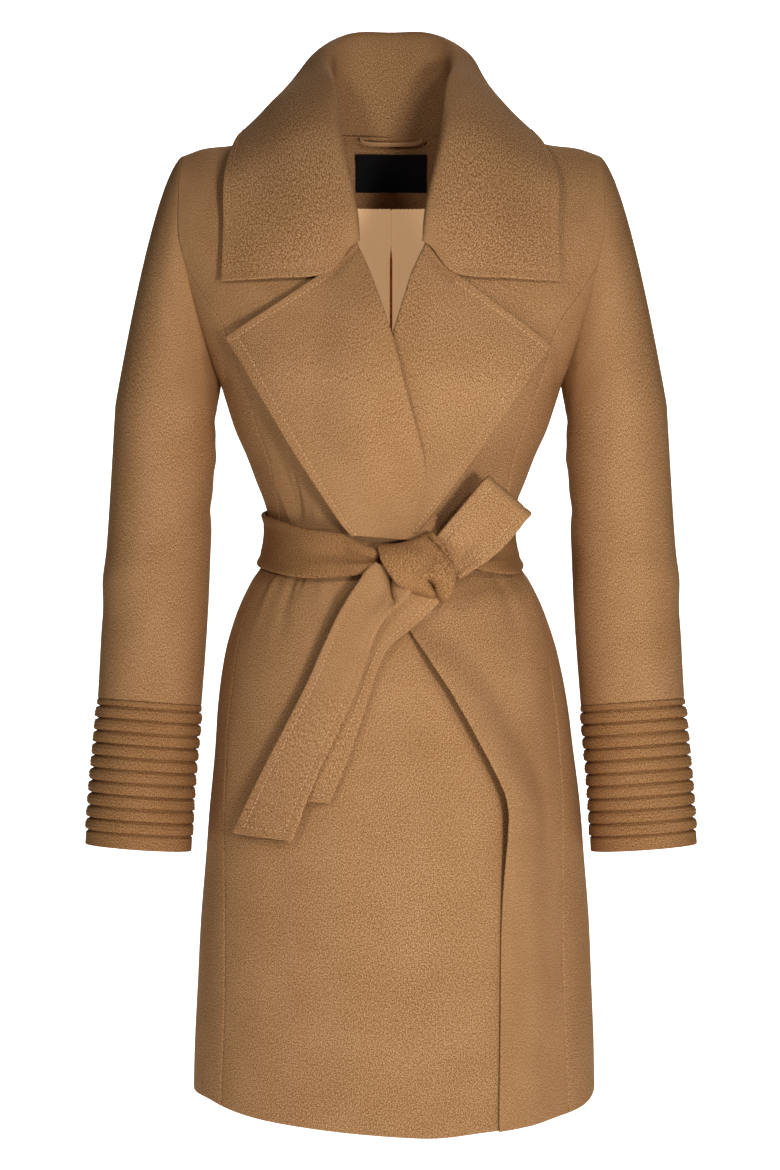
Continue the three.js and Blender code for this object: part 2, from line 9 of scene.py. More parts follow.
# %% Load the fixed frame
import math

import bpy
import numpy as np
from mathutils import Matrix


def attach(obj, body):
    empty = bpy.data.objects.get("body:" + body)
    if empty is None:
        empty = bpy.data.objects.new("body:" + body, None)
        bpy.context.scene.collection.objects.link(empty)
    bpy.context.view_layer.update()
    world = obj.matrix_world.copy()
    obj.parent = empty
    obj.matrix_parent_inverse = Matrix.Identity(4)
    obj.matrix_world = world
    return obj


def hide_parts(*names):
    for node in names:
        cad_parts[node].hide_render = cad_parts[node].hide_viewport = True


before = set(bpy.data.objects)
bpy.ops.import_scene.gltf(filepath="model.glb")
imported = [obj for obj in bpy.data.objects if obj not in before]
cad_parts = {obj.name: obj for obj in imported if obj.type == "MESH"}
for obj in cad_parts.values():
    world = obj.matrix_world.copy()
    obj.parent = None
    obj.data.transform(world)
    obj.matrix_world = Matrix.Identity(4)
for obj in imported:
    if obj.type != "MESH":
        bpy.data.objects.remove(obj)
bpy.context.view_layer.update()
MM = 0.001          # shapes are worked out in millimetres and stored in metres

# %% [markdown]
# ## Reading a table as a smooth curve
# A pattern maker notes a few measures by height and lets the curve flow between
# them. `read_table` does the same for a whole array of heights at once.

# %% Small helpers
def table(columns, *rows):
    """Rows of measures as dictionaries, keyed by the names of their columns."""
    return [dict(zip(columns.split(), row)) for row in rows]


def read_table(rows, key, column, at):
    """Cubic curve through one column of a table, for an array of key values.
    Between two rows it is the Hermite blend of their values and slopes."""
    rows = sorted(rows, key=lambda row: row[key])
    x = np.array([row[key] for row in rows], float)
    y = np.array([row[column] for row in rows], float)
    slope = np.empty_like(y)
    slope[1:-1] = (y[2:] - y[:-2]) / (x[2:] - x[:-2])
    slope[0] = (y[1] - y[0]) / (x[1] - x[0])
    slope[-1] = (y[-1] - y[-2]) / (x[-1] - x[-2])
    at = np.clip(np.asarray(at, float), x[0], x[-1])
    i = np.clip(np.searchsorted(x, at) - 1, 0, len(x) - 2)
    span = x[i + 1] - x[i]
    t = (at - x[i]) / span
    return (y[i] + (y[i + 1] - y[i]) * t * t * (3 - 2 * t)
            + t * (1 - t) ** 2 * span * slope[i] - t * t * (1 - t) * span * slope[i + 1])


def ease(start, end, at):
    """0 before start, 1 after end, and a smooth S between them."""
    t = np.clip((np.asarray(at, float) - start) / (end - start), 0, 1)
    return t * t * (3 - 2 * t)


def mix(a, b, t):
    """a where t is 0, b where t is 1, a straight blend between."""
    return a + (b - a) * t


def stack(x, y, z):
    """Three arrays of coordinates as one array of points."""
    return np.stack(np.broadcast_arrays(x, y, z), axis=-1).astype(float)


def bell(gap, wide):
    """1 at no gap, falling off to both sides: e to the minus square of gap over width."""
    return np.exp(-(gap / wide) ** 2)


def unit(vectors):
    """Each vector divided by its own length."""
    return vectors / np.maximum(np.linalg.norm(vectors, axis=-1, keepdims=True), 1e-9)


def find_span(count, t):
    """The span between two of count points that share t falls in, and the way along it."""
    k = np.clip(np.asarray(t, float), 0, 1) * (count - 1)
    i = np.clip(np.floor(k).astype(int), 0, count - 2)
    return i, (k - i)[..., None]


def bend_between(a, b, c, d, f):
    """Catmull-Rom cubic from b to c, heading along a to c at b and along b to d at c."""
    return 0.5 * (2 * b + (c - a) * f + (2 * a - 5 * b + 4 * c - d) * f ** 2
                  + (3 * b - a - 3 * c + d) * f ** 3)


def curve_through(points, t):
    """Smooth curve that passes through every point and bends evenly."""
    points = np.asarray(points, float)
    i, f = find_span(len(points), t)
    last = len(points) - 1
    return bend_between(points[np.clip(i - 1, 0, last)], points[i], points[i + 1],
                        points[np.clip(i + 2, 0, last)], f)


def add_object(name, data):
    """A new object in the scene."""
    made = bpy.data.objects.new(name, data)
    bpy.context.scene.collection.objects.link(made)
    return made


# %% [markdown]
# ## The body form
# No figure is modelled. The form is only the space the coat encloses: its half
# width and its reach to the front and back at each height, squarer than an
# ellipse, closing over the chest to the shoulder seams.

# %% Body form
CHEST_Z = -226
HEM_Z = -886        # at the side seams
HEM_DROP = 17       # how much lower the hem is at the front middle
ROUNDNESS = 2.4
ARM_FRONT, ARM_BACK = 52, 50

body_rows = table("z half front back",
    (-904, 187.5, 138, 146),
    (-766, 182.5, 137, 146),
    (-649, 174.5, 134, 144),
    (-578, 167.5, 131, 141),
    (-531, 163, 129, 137),
    (-484, 155, 126, 131),
    (-461, 149, 123, 127),
    (-437, 140.5, 119, 121),
    (-414, 129, 114, 112),
    (-396, 117, 110, 103),
    (-367, 111.5, 108, 99),
    (-343, 116.5, 110, 100),
    (-320, 125.5, 113, 102),
    (-296, 134.5, 117, 104),
    (-273, 144.5, 121, 106),
    (-249, 152.5, 125, 108),
    (-226, 160, 128, 110))
armhole_rows = table("z half",
    (-226, 160), (-187, 172), (-152, 182), (-113, 191), (-93, 195.5), (-47, 196), (-16, 195),
    (40, 195))
shoulder_rows = table("part z",
    (0, 30), (0.34, 17), (0.75, -5), (0.9, -9), (1, -16))


def half_width(z):
    """Half the width of the form: the side seams below the armpit, the armholes above."""
    return np.where(z < CHEST_Z, read_table(body_rows, "z", "half", z),
                    read_table(armhole_rows, "z", "half", z))


def shoulder_z(part):
    """Height of the shoulder seam at a share of the half width."""
    return read_table(shoulder_rows, "part", "z", np.abs(part))


def reach(part, z, behind):
    """Distance of the cloth from the shoulder line. Below the chest it is the ring's
    depth times the ring's roundness; above, it also closes to zero at the seam."""
    t = np.clip((z - CHEST_Z) / (shoulder_z(part) - CHEST_Z), 0, 1)
    power = mix(0.5, 0.8, ease(0, 0.5, t))
    roundness = np.clip(1 - np.abs(part) ** ROUNDNESS, 0, 1) ** power
    low = np.where(behind, read_table(body_rows, "z", "back", z),
                   read_table(body_rows, "z", "front", z)) * roundness
    arm = np.where(behind, ARM_BACK, ARM_FRONT) * np.sqrt(np.clip(np.sin(np.pi * t), 0, 1))
    middle = np.where(behind, 110 * (1 - t ** 2.6) ** 0.526, 128 * (1 - t ** 1.6) ** 0.769)
    arm_share = np.abs(part) ** (6 * (1 - ease(0, 0.35, t)))
    return np.where(z <= CHEST_Z, low, middle * roundness + arm * (1 - roundness) * arm_share)


def form_point(turn, level):
    """Point of the form. turn is 0 at the front middle, 90 at the wearer's left and 180
    behind; level is the height, stretched above the chest so 0 is the shoulder seam."""
    angle = np.radians(turn)
    part = np.sin(angle)
    behind = np.cos(angle) < 0
    drop = HEM_DROP * np.maximum(np.maximum(0, np.cos(angle)), -0.4 * np.cos(angle))
    drop = drop - 8.5 * ease(-88, -62, turn) * ease(30, -35, turn)   # one front lifts
    drop = drop - 3.5 * ease(8, 26, turn) * ease(75, 45, turn)
    low_z = level - drop * ease(-640, HEM_Z, level)
    z = np.where(level > CHEST_Z,
                 CHEST_Z + (level - CHEST_Z) / -CHEST_Z * (shoulder_z(part) - CHEST_Z), low_z)
    side = np.where(behind, 1, -1)
    lean = 3.2 * ease(-440, -620, z)
    return stack(half_width(z) * part + lean, reach(part, z, behind) * side, z)


def form_normal(turn, level):
    """Outward direction: the round direction crossed with the upward one."""
    low = np.minimum(level, -4)
    round_way = form_point(turn + 1, low) - form_point(turn - 1, low)
    up_way = form_point(turn, low + 3) - form_point(turn, low - 3)
    return unit(np.cross(round_way, up_way))


def turn_of(x, z):
    """Turn of the front point that lies at x: the arcsine of its share of the half width."""
    return np.degrees(np.arcsin(np.clip(x / half_width(z), -1, 1)))


def level_of(x, z):
    """Level of the point at height z: the height stretched so the seam comes to 0."""
    top = shoulder_z(x / half_width(z))
    return np.where(z <= CHEST_Z, z, CHEST_Z + (z - CHEST_Z) * -CHEST_Z / (top - CHEST_Z))


# %% [markdown]
# ## Folds
# Thick wool makes few folds, and they are broad. Each row below is one trough
# (negative) or ridge (positive): a line on the form with a width and a height.
# Its cross-section is a bell curve, and it fades out at both ends. No two have
# the same length, depth or spacing, and the hidden sides have theirs too.

# %% Folds on the form
fold_rows = table("turn0 z0 turn1 z1 wide high",
    (-46, -348, -50, -262, 6, -2.4),
    (-54, -350, -60, -300, 5, 1.8),
    (-36, -352, -33, -312, 5, 1.5),
    (44, -352, 52, -280, 6, -2.0),
    (57, -352, 66, -296, 6, 1.6),
    (-44, -410, -41, -482, 6, -2.6),
    (-40, -398, -38, -423, 1.6, -4.5),
    (-43, -318, -44, -352, 1.6, -4.0),
    (-56, -412, -58, -476, 6, 1.6),
    (-28, -414, -22, -468, 7, 1.5),
    (50, -414, 46, -498, 8, -2.2),
    (66, -412, 63, -470, 6, 1.6),
    (-64, -560, -60, -860, 20, 1.8),
    (8, -640, 4, -896, 34, 2.2),
    (-30, -600, -34, -896, 26, -1.8),
    (48, -560, 50, -896, 18, -1.6),
    (-72, -228, -58, -186, 7, -1.6),
    (74, -230, 56, -180, 7, -1.4),
    (118, -350, 126, -262, 7, -2.2),
    (150, -352, 146, -286, 8, 1.9),
    (-126, -352, -131, -270, 7, -2.4),
    (-152, -352, -149, -300, 8, 1.6),
    (172, -400, 170, -470, 8, -1.8),
    (132, -402, 136, -486, 9, 1.9),
    (-140, -402, -144, -492, 9, -2.2),
    (-112, -404, -108, -466, 7, 1.6),
    (128, -520, 132, -896, 24, 3.0),
    (-134, -540, -130, -896, 28, 2.6),
    (160, -560, 156, -896, 22, -2.4),
    (-162, -600, -166, -896, 20, -2.0),
    (108, -150, 140, -205, 12, -1.8),
    (-110, -150, -142, -212, 12, -1.6))
TURN_MM = 2.6       # length of one degree of turn round the form


def fold_height(turn, level):
    """Sum of the folds: height times a bell across the line, faded along it."""
    total = np.zeros(np.broadcast(turn, level).shape)
    for row in fold_rows:
        across = np.array([(row["turn1"] - row["turn0"]) * TURN_MM, row["z1"] - row["z0"]])
        length = np.hypot(*across)
        from_start = stack((turn - row["turn0"]) * TURN_MM, level - row["z0"], 0)[..., :2]
        share = np.clip(from_start @ across / length ** 2, 0, 1)
        off = np.linalg.norm(from_start - share[..., None] * across, axis=-1)
        wide = row["wide"] * (1 + 0.7 * share)
        total += row["high"] * (1 - share) ** 0.8 * bell(off, wide)
    return total


def soft_wave(turn, level):
    """Slow unevenness of cloth that nothing presses flat: three crossed sine waves."""
    a = np.sin(turn * 0.083 + level * 0.021 + 0.6)
    b = np.sin(turn * 0.047 - level * 0.033 + 2.1)
    c = np.sin(turn * 0.13 + level * 0.011 + 4.0)
    return 0.45 * a * b + 0.3 * c


def on_form(turn, level, off=0.0):
    """Point of the form with its folds, moved off it by its layer."""
    lift = off + fold_height(turn, level) + soft_wave(turn, level)
    return form_point(turn, level) + form_normal(turn, level) * np.asarray(lift)[..., None]


def on_front(x, z, off=0.0):
    """Point off the front that still lies at x, z seen from the front: two corrections."""
    at_x = x
    for _ in range(2):
        point = on_form(turn_of(at_x, z), level_of(at_x, z), off)
        at_x = at_x + x - point[..., 0]
    return on_form(turn_of(at_x, z), level_of(at_x, z), off)


def inside_back(x, z, inset):
    """Point inside the back, at x and z, set in from the form."""
    return on_form(180 - turn_of(x, z), level_of(x, z), -inset)


# %% [markdown]
# ## From a surface to sewn cloth
# A flat grid with a constant wall has knife-sharp card edges. Real coating wool is
# cut or turned in, so its edge is round, and a line of stitches just inside it
# presses a shallow channel. `cloth` samples a surface closely near its edges and
# lets the wall run out to a half circle there.

# %% Cloth maker
EDGE_STEPS = np.array([0, 0.08, 0.3, 0.65, 1.0])   # shares of the edge radius
STITCH_INSET = 8.5          # from the edge to the line of stitches
CHANNEL_DEEP, CHANNEL_WIDE = 0.7, 1.6
pieces = {}


def edge_round(distance, radius):
    """Half circle: 0 at the edge, 1 from one radius inwards."""
    t = np.clip(distance / max(radius, 1e-6), 0, 1)
    return np.sqrt(np.clip(1 - (1 - t) ** 2, 0, 1))


def spread(length, spacing, radius_a, radius_b):
    """Shares of a length: close together within each edge radius, even between."""
    a, b = EDGE_STEPS * radius_a, length - EDGE_STEPS[::-1] * radius_b
    count = max(2, int(round((b[0] - a[-1]) / spacing)))
    middle = np.linspace(a[-1], b[0], count + 1)[1:-1]
    return np.concatenate([a, middle, b]) / length


def run_length(points, axis):
    """Distance run along a grid's rows or columns, from 0 at their start."""
    step = np.linalg.norm(np.diff(points, axis=axis), axis=-1)
    zero = np.zeros_like(np.take(step, [0], axis=axis))
    return np.concatenate([zero, np.cumsum(step, axis=axis)], axis=axis)


def grid_normals(points, closed):
    """Square to the surface: the row direction crossed with the column direction."""
    if closed:
        ring = np.concatenate([points[:, -1:], points, points[:, :1]], axis=1)
        du = ring[:, 2:] - ring[:, :-2]
    else:
        du = np.gradient(points, axis=1)
    return unit(np.cross(du, np.gradient(points, axis=0)))


def cloth(name, point, wall, spacing=4.0, edges=(1, 1, 1, 1), closed=False, stitched=(),
          slot="wool", shape=None, round_spacing=None):
    """A piece of cloth from point(u, v). edges gives the radius of each edge as a share
    of the half wall, in the order u=0, u=1, v=0, v=1; stitched names the edges that
    have a pressed channel. shape(u, v, du, dv) may add its own height to the outside."""
    coarse = np.linspace(0, 1, 33)
    rough = point(*np.meshgrid(coarse, coarse))
    wide = run_length(rough, 1)[:, -1].mean()
    tall = run_length(rough, 0)[-1].mean()
    radius = [wall / 2 * e for e in edges]
    if closed:
        u = np.linspace(0, 1, max(16, int(round(wide / (round_spacing or spacing)))),
                        endpoint=False)
    else:
        u = spread(wide, spacing, radius[0], radius[1])
    v = spread(tall, spacing, radius[2], radius[3])
    uu, vv = np.meshgrid(u, v)
    middle = point(uu, vv)
    normal = grid_normals(middle, closed)
    du, dv = uu * wide, vv * tall
    gaps = {"u0": du, "u1": wide - du, "v0": dv, "v1": tall - dv}
    half = np.full(uu.shape, wall / 2)
    for key, r in zip(gaps, radius):
        if not (closed and key[0] == "u"):
            half = half * edge_round(gaps[key], r)
    for key in stitched:
        half = half - CHANNEL_DEEP * bell(gaps[key] - STITCH_INSET, CHANNEL_WIDE)
    half = np.maximum(half, 0)
    extra = shape(uu, vv, du, dv) if shape else 0
    outer = middle + normal * (half + extra)[..., None]
    inner = middle - normal * half[..., None]
    piece = closed_mesh(name + "_cloth", outer, inner, closed, stack(du, dv, 0)[..., :2], wide)
    pieces[name] = dict(object=piece, slot=slot, wide=wide, tall=tall, point=point,
                        half=wall / 2)
    print(name, "%.0f x %.0f mm" % (wide, tall), len(piece.data.polygons), "faces")
    return piece


def closed_mesh(name, outer, inner, closed, uv, wide):
    """Outer and inner grids joined at their rims into one closed mesh. The rims share
    their vertices, and the loops carry a UV map in metres of cloth."""
    rows, cols = outer.shape[:2]
    across = cols if closed else cols - 1
    ids = np.arange(rows * cols).reshape(rows, cols)
    inner_ids = ids.copy()
    free = np.zeros((rows, cols), bool)
    free[1:-1, :] = True
    if not closed:
        free[:, 0] = free[:, -1] = False
    inner_ids[free] = rows * cols + np.arange(free.sum())
    points = np.concatenate([outer.reshape(-1, 3), inner[free]]) * MM
    i, j = np.meshgrid(np.arange(rows - 1), np.arange(across), indexing="ij")
    i, j = i.ravel(), j.ravel()
    k = (j + 1) % cols

    def quads(grid):
        return np.stack([grid[i, j], grid[i, k], grid[i + 1, k], grid[i + 1, j]], axis=1)

    faces = np.concatenate([quads(ids), quads(inner_ids)[:, ::-1]])
    u_next = np.where(k == 0, wide, uv[i, k, 0]) if closed else uv[i, k, 0]
    corners = [(uv[i, j, 0], uv[i, j, 1]), (u_next, uv[i, k, 1]),
               (u_next, uv[i + 1, k, 1]), (uv[i + 1, j, 0], uv[i + 1, j, 1])]
    loops = np.stack([np.stack(corner, axis=-1) for corner in corners], axis=1) * MM
    loop_uv = np.concatenate([loops, loops[:, ::-1]]).reshape(-1, 2)
    return mesh_object(name, points, faces, loop_uv)


def mesh_object(name, points, faces, loop_uv=None):
    """A smooth-shaded mesh object from arrays, turned to face outwards."""
    a, b, c, d = np.moveaxis(points[faces], 1, 0)
    if (a * (np.cross(b, c) + np.cross(c, d))).sum() < 0:       # six times the volume
        faces = faces[:, ::-1]
        if loop_uv is not None:
            loop_uv = loop_uv.reshape(len(faces), -1, 2)[:, ::-1].reshape(-1, 2)
    mesh = bpy.data.meshes.new(name)
    mesh.from_pydata(points, [], faces.tolist())
    if loop_uv is not None:
        layer = mesh.uv_layers.new(name="cloth")
        layer.data.foreach_set("uv", np.ascontiguousarray(loop_uv, np.float32).ravel())
    mesh.polygons.foreach_set("use_smooth", np.ones(len(mesh.polygons), bool))
    mesh.update()
    return add_object(name, mesh)


# %% [markdown]
# ## Seams and edges
# The fronts cross. Above the belt the wearer's right front lies over the left one;
# below it the left one lies on top. They change places under the knot, where both
# edges draw back to the same point, so neither passes through the other.

# %% Seam tables
bust_seam_rows = table("z turn",
    (-886, 57), (-748, 57), (-566, 65), (-502, 66), (-430, 69), (-396, 69), (-345, 62), (-305, 57),
    (-256, 56.5), (-226, 58.5), (-174, 61), (-145, 70), (-122, 80), (-106, 90))
right_edge_rows = table("level x",
    (0, -66), (-11, -64), (-41, -57), (-82, -45), (-119, -30), (-144, -19), (-193, 0), (-235, 13),
    (-290, 28.5), (-341, 36.6), (-377, 44.5), (-394, 38), (-407, 4), (-433, 4), (-446, 42),
    (-470, 66), (-532, 92), (-600, 120), (-660, 130), (-886, 128))
left_edge_rows = table("level x",
    (0, 66), (-11, 64), (-41, 57), (-82, 46), (-119, 30), (-144, 18), (-193, 1), (-235, -6),
    (-290, -11), (-341, -13), (-377, -12), (-394, -6), (-407, 8.5), (-433, 8.5), (-446, 12),
    (-470, 26), (-506, 47.5), (-535, 62), (-562, 74.5), (-584, 84), (-600, 90), (-616, 93),
    (-640, 93.5), (-886, 91))
WALL, DOUBLE_WALL, BELT_WALL = 2.5, 3.4, 4.2
BUST_SEAM_TOP = -106
SIDE_TURN = 90


def edge_x(rows, level):
    """Straight runs between the rows of a front edge."""
    rows = rows[::-1]
    return np.interp(level, [r["level"] for r in rows], [r["x"] for r in rows])


def over_above(level):
    """1 above the belt, 0 below it."""
    return ease(-433, -407, level)


def pressed(level):
    """1 where the belt presses the layers together."""
    return ease(-290, -340, level)


def right_lift(x, level):
    """Layer height of the right front: over the left front and its lapel."""
    return (mix(11.4, 8.4, pressed(level)) * ease(-72, -16, x) * over_above(level)
            * ease(-120, -185, level))


def left_lift(x, level):
    """Layer height of the left front: over the right one below the belt, where its
    free edge also stands off a little."""
    over = 4.2 * ease(150, 118, x) * (1 - over_above(level))
    away = x - edge_x(left_edge_rows, level)
    stand = 17 * ease(46, 0, away) * ease(-440, -490, level) * ease(-720, -590, level)
    return over + stand


def bust_turn(level):
    """Turn of the long seam that runs over the bust and out into the armhole."""
    return np.where(level > BUST_SEAM_TOP, SIDE_TURN,
                    read_table(bust_seam_rows, "z", "turn", level))


# %% [markdown]
# ## Fronts, sides and back
# Each panel runs between two seam lines. In the grid, u goes from the front edge to
# the seam and v from the hem to the shoulder.

# %% Body panels
sides = [
    dict(side="right", sign=-1, rows=right_edge_rows, lift=right_lift),
    dict(side="left", sign=1, rows=left_edge_rows, lift=left_lift),
]
SEAM_LEVEL = -0.012     # just short of the shoulder seam
ARMPIT_LEVEL = -108
NECK_TURN = 18.5        # half the back neck, as turn


def front_surface(sign, rows, lift):
    def point(u, v):
        """Turn goes from the front edge to the bust seam or armhole."""
        level = mix(HEM_Z, SEAM_LEVEL, v)
        z = np.where(level > CHEST_Z, level * 0.9, level)
        inner = turn_of(edge_x(rows, level), z)
        outer = sign * bust_turn(level)
        turn = mix(inner, outer, u)
        x = half_width(level) * np.sin(np.radians(turn))
        return on_form(turn, level, lift(x, level))
    return point


def side_surface(sign):
    def point(u, v):
        """Turn goes from the bust seam to the side seam."""
        level = mix(HEM_Z, ARMPIT_LEVEL, v)
        return on_form(sign * mix(bust_turn(level), SIDE_TURN, u), level)
    return point


def back_surface(sign):
    def point(u, v):
        """Turn goes from the back middle, or the back neck, to the side seam."""
        level = mix(HEM_Z, SEAM_LEVEL, v)
        neck = ease(-34, 0, level) * NECK_TURN
        return on_form(sign * mix(180 - neck, SIDE_TURN, u), level)
    return point


SEAM_EDGE = 1.6
for s in sides:
    cloth(s["side"] + "_front", front_surface(s["sign"], s["rows"], s["lift"]), WALL,
          edges=(1, SEAM_EDGE, 1, SEAM_EDGE), stitched=("u0",) if s["sign"] > 0 else ())
    cloth(s["side"] + "_side_front", side_surface(s["sign"]), WALL,
          edges=(SEAM_EDGE, SEAM_EDGE, 1, SEAM_EDGE))
    cloth(s["side"] + "_back", back_surface(s["sign"]), WALL,
          edges=(SEAM_EDGE, SEAM_EDGE, 1, SEAM_EDGE))

# %% [markdown]
# ## Sleeves and ribbed cuffs
# A sleeve is a tube that starts as the armhole and becomes a plain ring a little
# below it. The cuff repeats one rib, a pin tuck, ten times and ends in a flat band.

# %% Sleeves
SLEEVE_TOP_Z = -249
CUFF_SEAM_Z = -527
CUFF_END_Z = -661
RIBS, RIB_PITCH, RIB_START, RIB_HIGH = 10, 11.5, 6.5, 1.5
GROOVE_DEEP, GROOVE_WIDE = 3.0, 1.05
RIB_REST = 1.2          # how far a groove's slope runs past the ribs
BAND_HIGH = 0.5
CAP_SHARE = 0.42        # share of the sleeve's grid above its first plain ring
sleeve_rows = table("z x y half deep",
    (-249, 211, 0, 46.5, 62),
    (-343, 216, -2, 46.8, 58),
    (-437, 220.5, -7, 48, 55),
    (-527, 225.5, -14, 47, 52),
    (-600, 231.5, -20, 47, 50),
    (-663, 235, -25, 47.5, 50))
sleeve_fold_rows = table("angle z tilt wide span high",
    (3.6, -262, 0.10, 8, 0.9, -2.2),
    (3.3, -300, -0.14, 9, 0.8, 1.6),
    (2.7, -352, 0.2, 10, 1.0, -2.0),
    (1.6, -395, 0.3, 14, 1.2, 1.5),
    (4.6, -372, -0.3, 12, 1.0, -1.7),
    (1.1, -455, -0.2, 16, 1.0, -1.4),
    (0.2, -410, 0.2, 18, 1.3, 1.4))


def sleeve_ring(angle, z, off=0.0):
    """Ellipse round the sleeve's middle line at height z."""
    get = lambda column: read_table(sleeve_rows, "z", column, z)
    out = (get("half") + off) * np.cos(angle)
    return stack(get("x") + out, get("y") - (get("deep") + off) * np.sin(angle),
                 z + (0.075 * out + 5.5 * np.maximum(0, np.sin(angle))) * ease(-380, -500, z))


def armhole_loop(angle):
    """Closed loop in the side of the body: 0 at the shoulder, pi at the armpit."""
    t = (1 + np.cos(angle)) / 2
    z = CHEST_Z + t * (shoulder_z(1.0) - CHEST_Z)
    deep = np.where(np.sin(angle) > 0, ARM_FRONT, ARM_BACK)
    y = -np.sign(np.sin(angle)) * deep * np.sqrt(np.clip(np.sin(np.pi * t), 0, 1))
    return stack(half_width(z) + 0.3, y, z)


def sleeve_folds(angle, z):
    """Bells across short bands that run part of the way round the arm."""
    total = np.zeros(np.broadcast(angle, z).shape)
    for row in sleeve_fold_rows:
        gap = np.angle(np.exp(1j * (angle - row["angle"])))
        centre = row["z"] + row["tilt"] * gap * 50
        total += row["high"] * bell(gap, row["span"]) * bell(z - centre, row["wide"])
    return total


def sleeve_surface(sign):
    def point(u, v):
        """A parabola from the armhole to the first plain ring, then rings downwards."""
        angle = 2 * np.pi * u * sign
        down = np.clip((v - CAP_SHARE) / (1 - CAP_SHARE), 0, 1)
        z = mix(SLEEVE_TOP_Z, CUFF_SEAM_Z, down)
        ring = sleeve_ring(angle, z, sleeve_folds(angle, z))
        start, end = armhole_loop(angle), sleeve_ring(angle, SLEEVE_TOP_Z + 0 * angle)
        under = (1 - np.cos(angle)) / 2
        pull = np.stack([np.full_like(under, 0.4), np.full_like(under, 0.5),
                         mix(0.09, 0.5, under)], axis=-1)
        bend = mix(start, end, pull)
        t = np.clip(v / CAP_SHARE, 0, 1)[..., None]
        cap = (1 - t) ** 2 * start + 2 * t * (1 - t) * bend + t * t * end
        return np.where((v < CAP_SHARE)[..., None], cap, ring) * [sign, 1, 1]
    return point


def cuff_surface(sign):
    def point(u, v):
        """Rings of the sleeve's last stretch."""
        z = mix(CUFF_SEAM_Z, CUFF_END_Z, v)
        return sleeve_ring(2 * np.pi * u * sign, z) * [sign, 1, 1]
    return point


def rib_shape(u, v, du, dv):
    """Ten flat-topped round ribs below a plain strip: one less the fourth power of the
    way from the middle of the rib, less a narrow bell at each groove and a shallow one
    at the stitched line below it. Then the plain band."""
    down = dv - RIB_START
    from_groove = down % RIB_PITCH
    plump = 1 - (2 * from_groove / RIB_PITCH - 1) ** 4
    to_groove = np.minimum(from_groove, RIB_PITCH - from_groove)
    rib = (0.1 + RIB_HIGH * plump - GROOVE_DEEP * bell(to_groove, GROOVE_WIDE)
           - 0.5 * bell(from_groove - 2.9, 0.6))
    uneven = 0.25 * np.sin(2 * np.pi * u * 3 + dv * 0.5) + 0.2 * np.sin(dv * 1.9 + 4 * u)
    ribbed = (down > -RIB_REST) * (down < RIBS * RIB_PITCH + RIB_REST)
    return np.where(ribbed, rib + uneven, BAND_HIGH)


for s in sides:
    cloth(s["side"] + "_sleeve", sleeve_surface(s["sign"]), WALL, closed=True,
          edges=(1, 1, SEAM_EDGE, SEAM_EDGE))
    cloth(s["side"] + "_ribbed_cuff", cuff_surface(s["sign"]), WALL, spacing=0.75,
          round_spacing=1.9, closed=True, edges=(1, 1, SEAM_EDGE, 1), shape=rib_shape)

# %% [markdown]
# ## Lapels
# A lapel is the top of the front folded back on its roll line. Its grid runs from the
# roll line out to the sewn edge, and it lies on its own front with a soft belly.

# %% Lapels
lapels = {
    "right": dict(roll=[(-31, -105.5), (-19, -134), (0, -189), (13, -235), (28.5, -290),
                        (36.6, -341), (44, -376)],
                  gorge=(-54.5, -132), point=(-150.5, -188.5), tip=(-36, -368), own=right_lift),
    "left": dict(roll=[(31, -105.5), (18, -134), (1, -189), (-5, -235), (-10, -290),
                       (-12, -341), (-11, -372)],
                 gorge=(55.5, -134), point=(145.5, -196.5), tip=(22, -366),
                 own=lambda x, level: 0 * x),
}
GORGE_SHARE = 0.24


def straight_run(points, t):
    """Point at share t of a line of straight runs with equal shares."""
    points = np.asarray(points, float)
    k = np.clip(t, 0, 1) * (len(points) - 1)
    knots = np.arange(len(points))
    return np.stack([np.interp(k, knots, points[:, n]) for n in (0, 1)], axis=-1)


def lapel_surface(roll, gorge, point, tip, own):
    def surface(u, v):
        """Blend of the top edge and the bottom edge, bent to follow the roll line."""
        share = np.where(u < GORGE_SHARE, u / GORGE_SHARE / 2,
                         0.5 + (u - GORGE_SHARE) / (1 - GORGE_SHARE) / 2)
        top = straight_run([roll[0], gorge, point], share)
        first, last = np.array(roll[0], float), np.array(roll[-1], float)
        bottom = mix(last, np.array(tip, float), u[..., None])
        bow = straight_run(roll, v) - mix(first, last, v[..., None])
        flat = mix(top, bottom, v[..., None]) + (1 - u[..., None]) * bow
        x, z = flat[..., 0], flat[..., 1]
        free = mix(1, 0.75, ease(-330, -366, z))
        edge = mix(10, 19, ease(-215, -300, z))
        under = 1.7 * ease(0.09, 0.0, v) * ease(0.30, 0.22, u)    # tucks under the collar
        belly = 1.2 * np.sin(np.pi * np.minimum(1, u * 1.15))
        lift = own(x, level_of(x, z)) + 4.1 - under + free * (0.6 + belly + edge * u ** 1.6)
        return on_front(x, z, lift)
    return surface


for side, cut in lapels.items():
    cloth(side + "_lapel", lapel_surface(**cut), DOUBLE_WALL, spacing=2.6,
          edges=(1.6, 1, 1, 1), stitched=("u1", "v0"))

# %% [markdown]
# ## Collar
# The collar stands up round the neck, rolls over and falls wide on the shoulders. A
# pattern drafts it in sections square to the neck seam: so does this table, a row per
# section from the back middle to the front end, and a smooth net joins them.

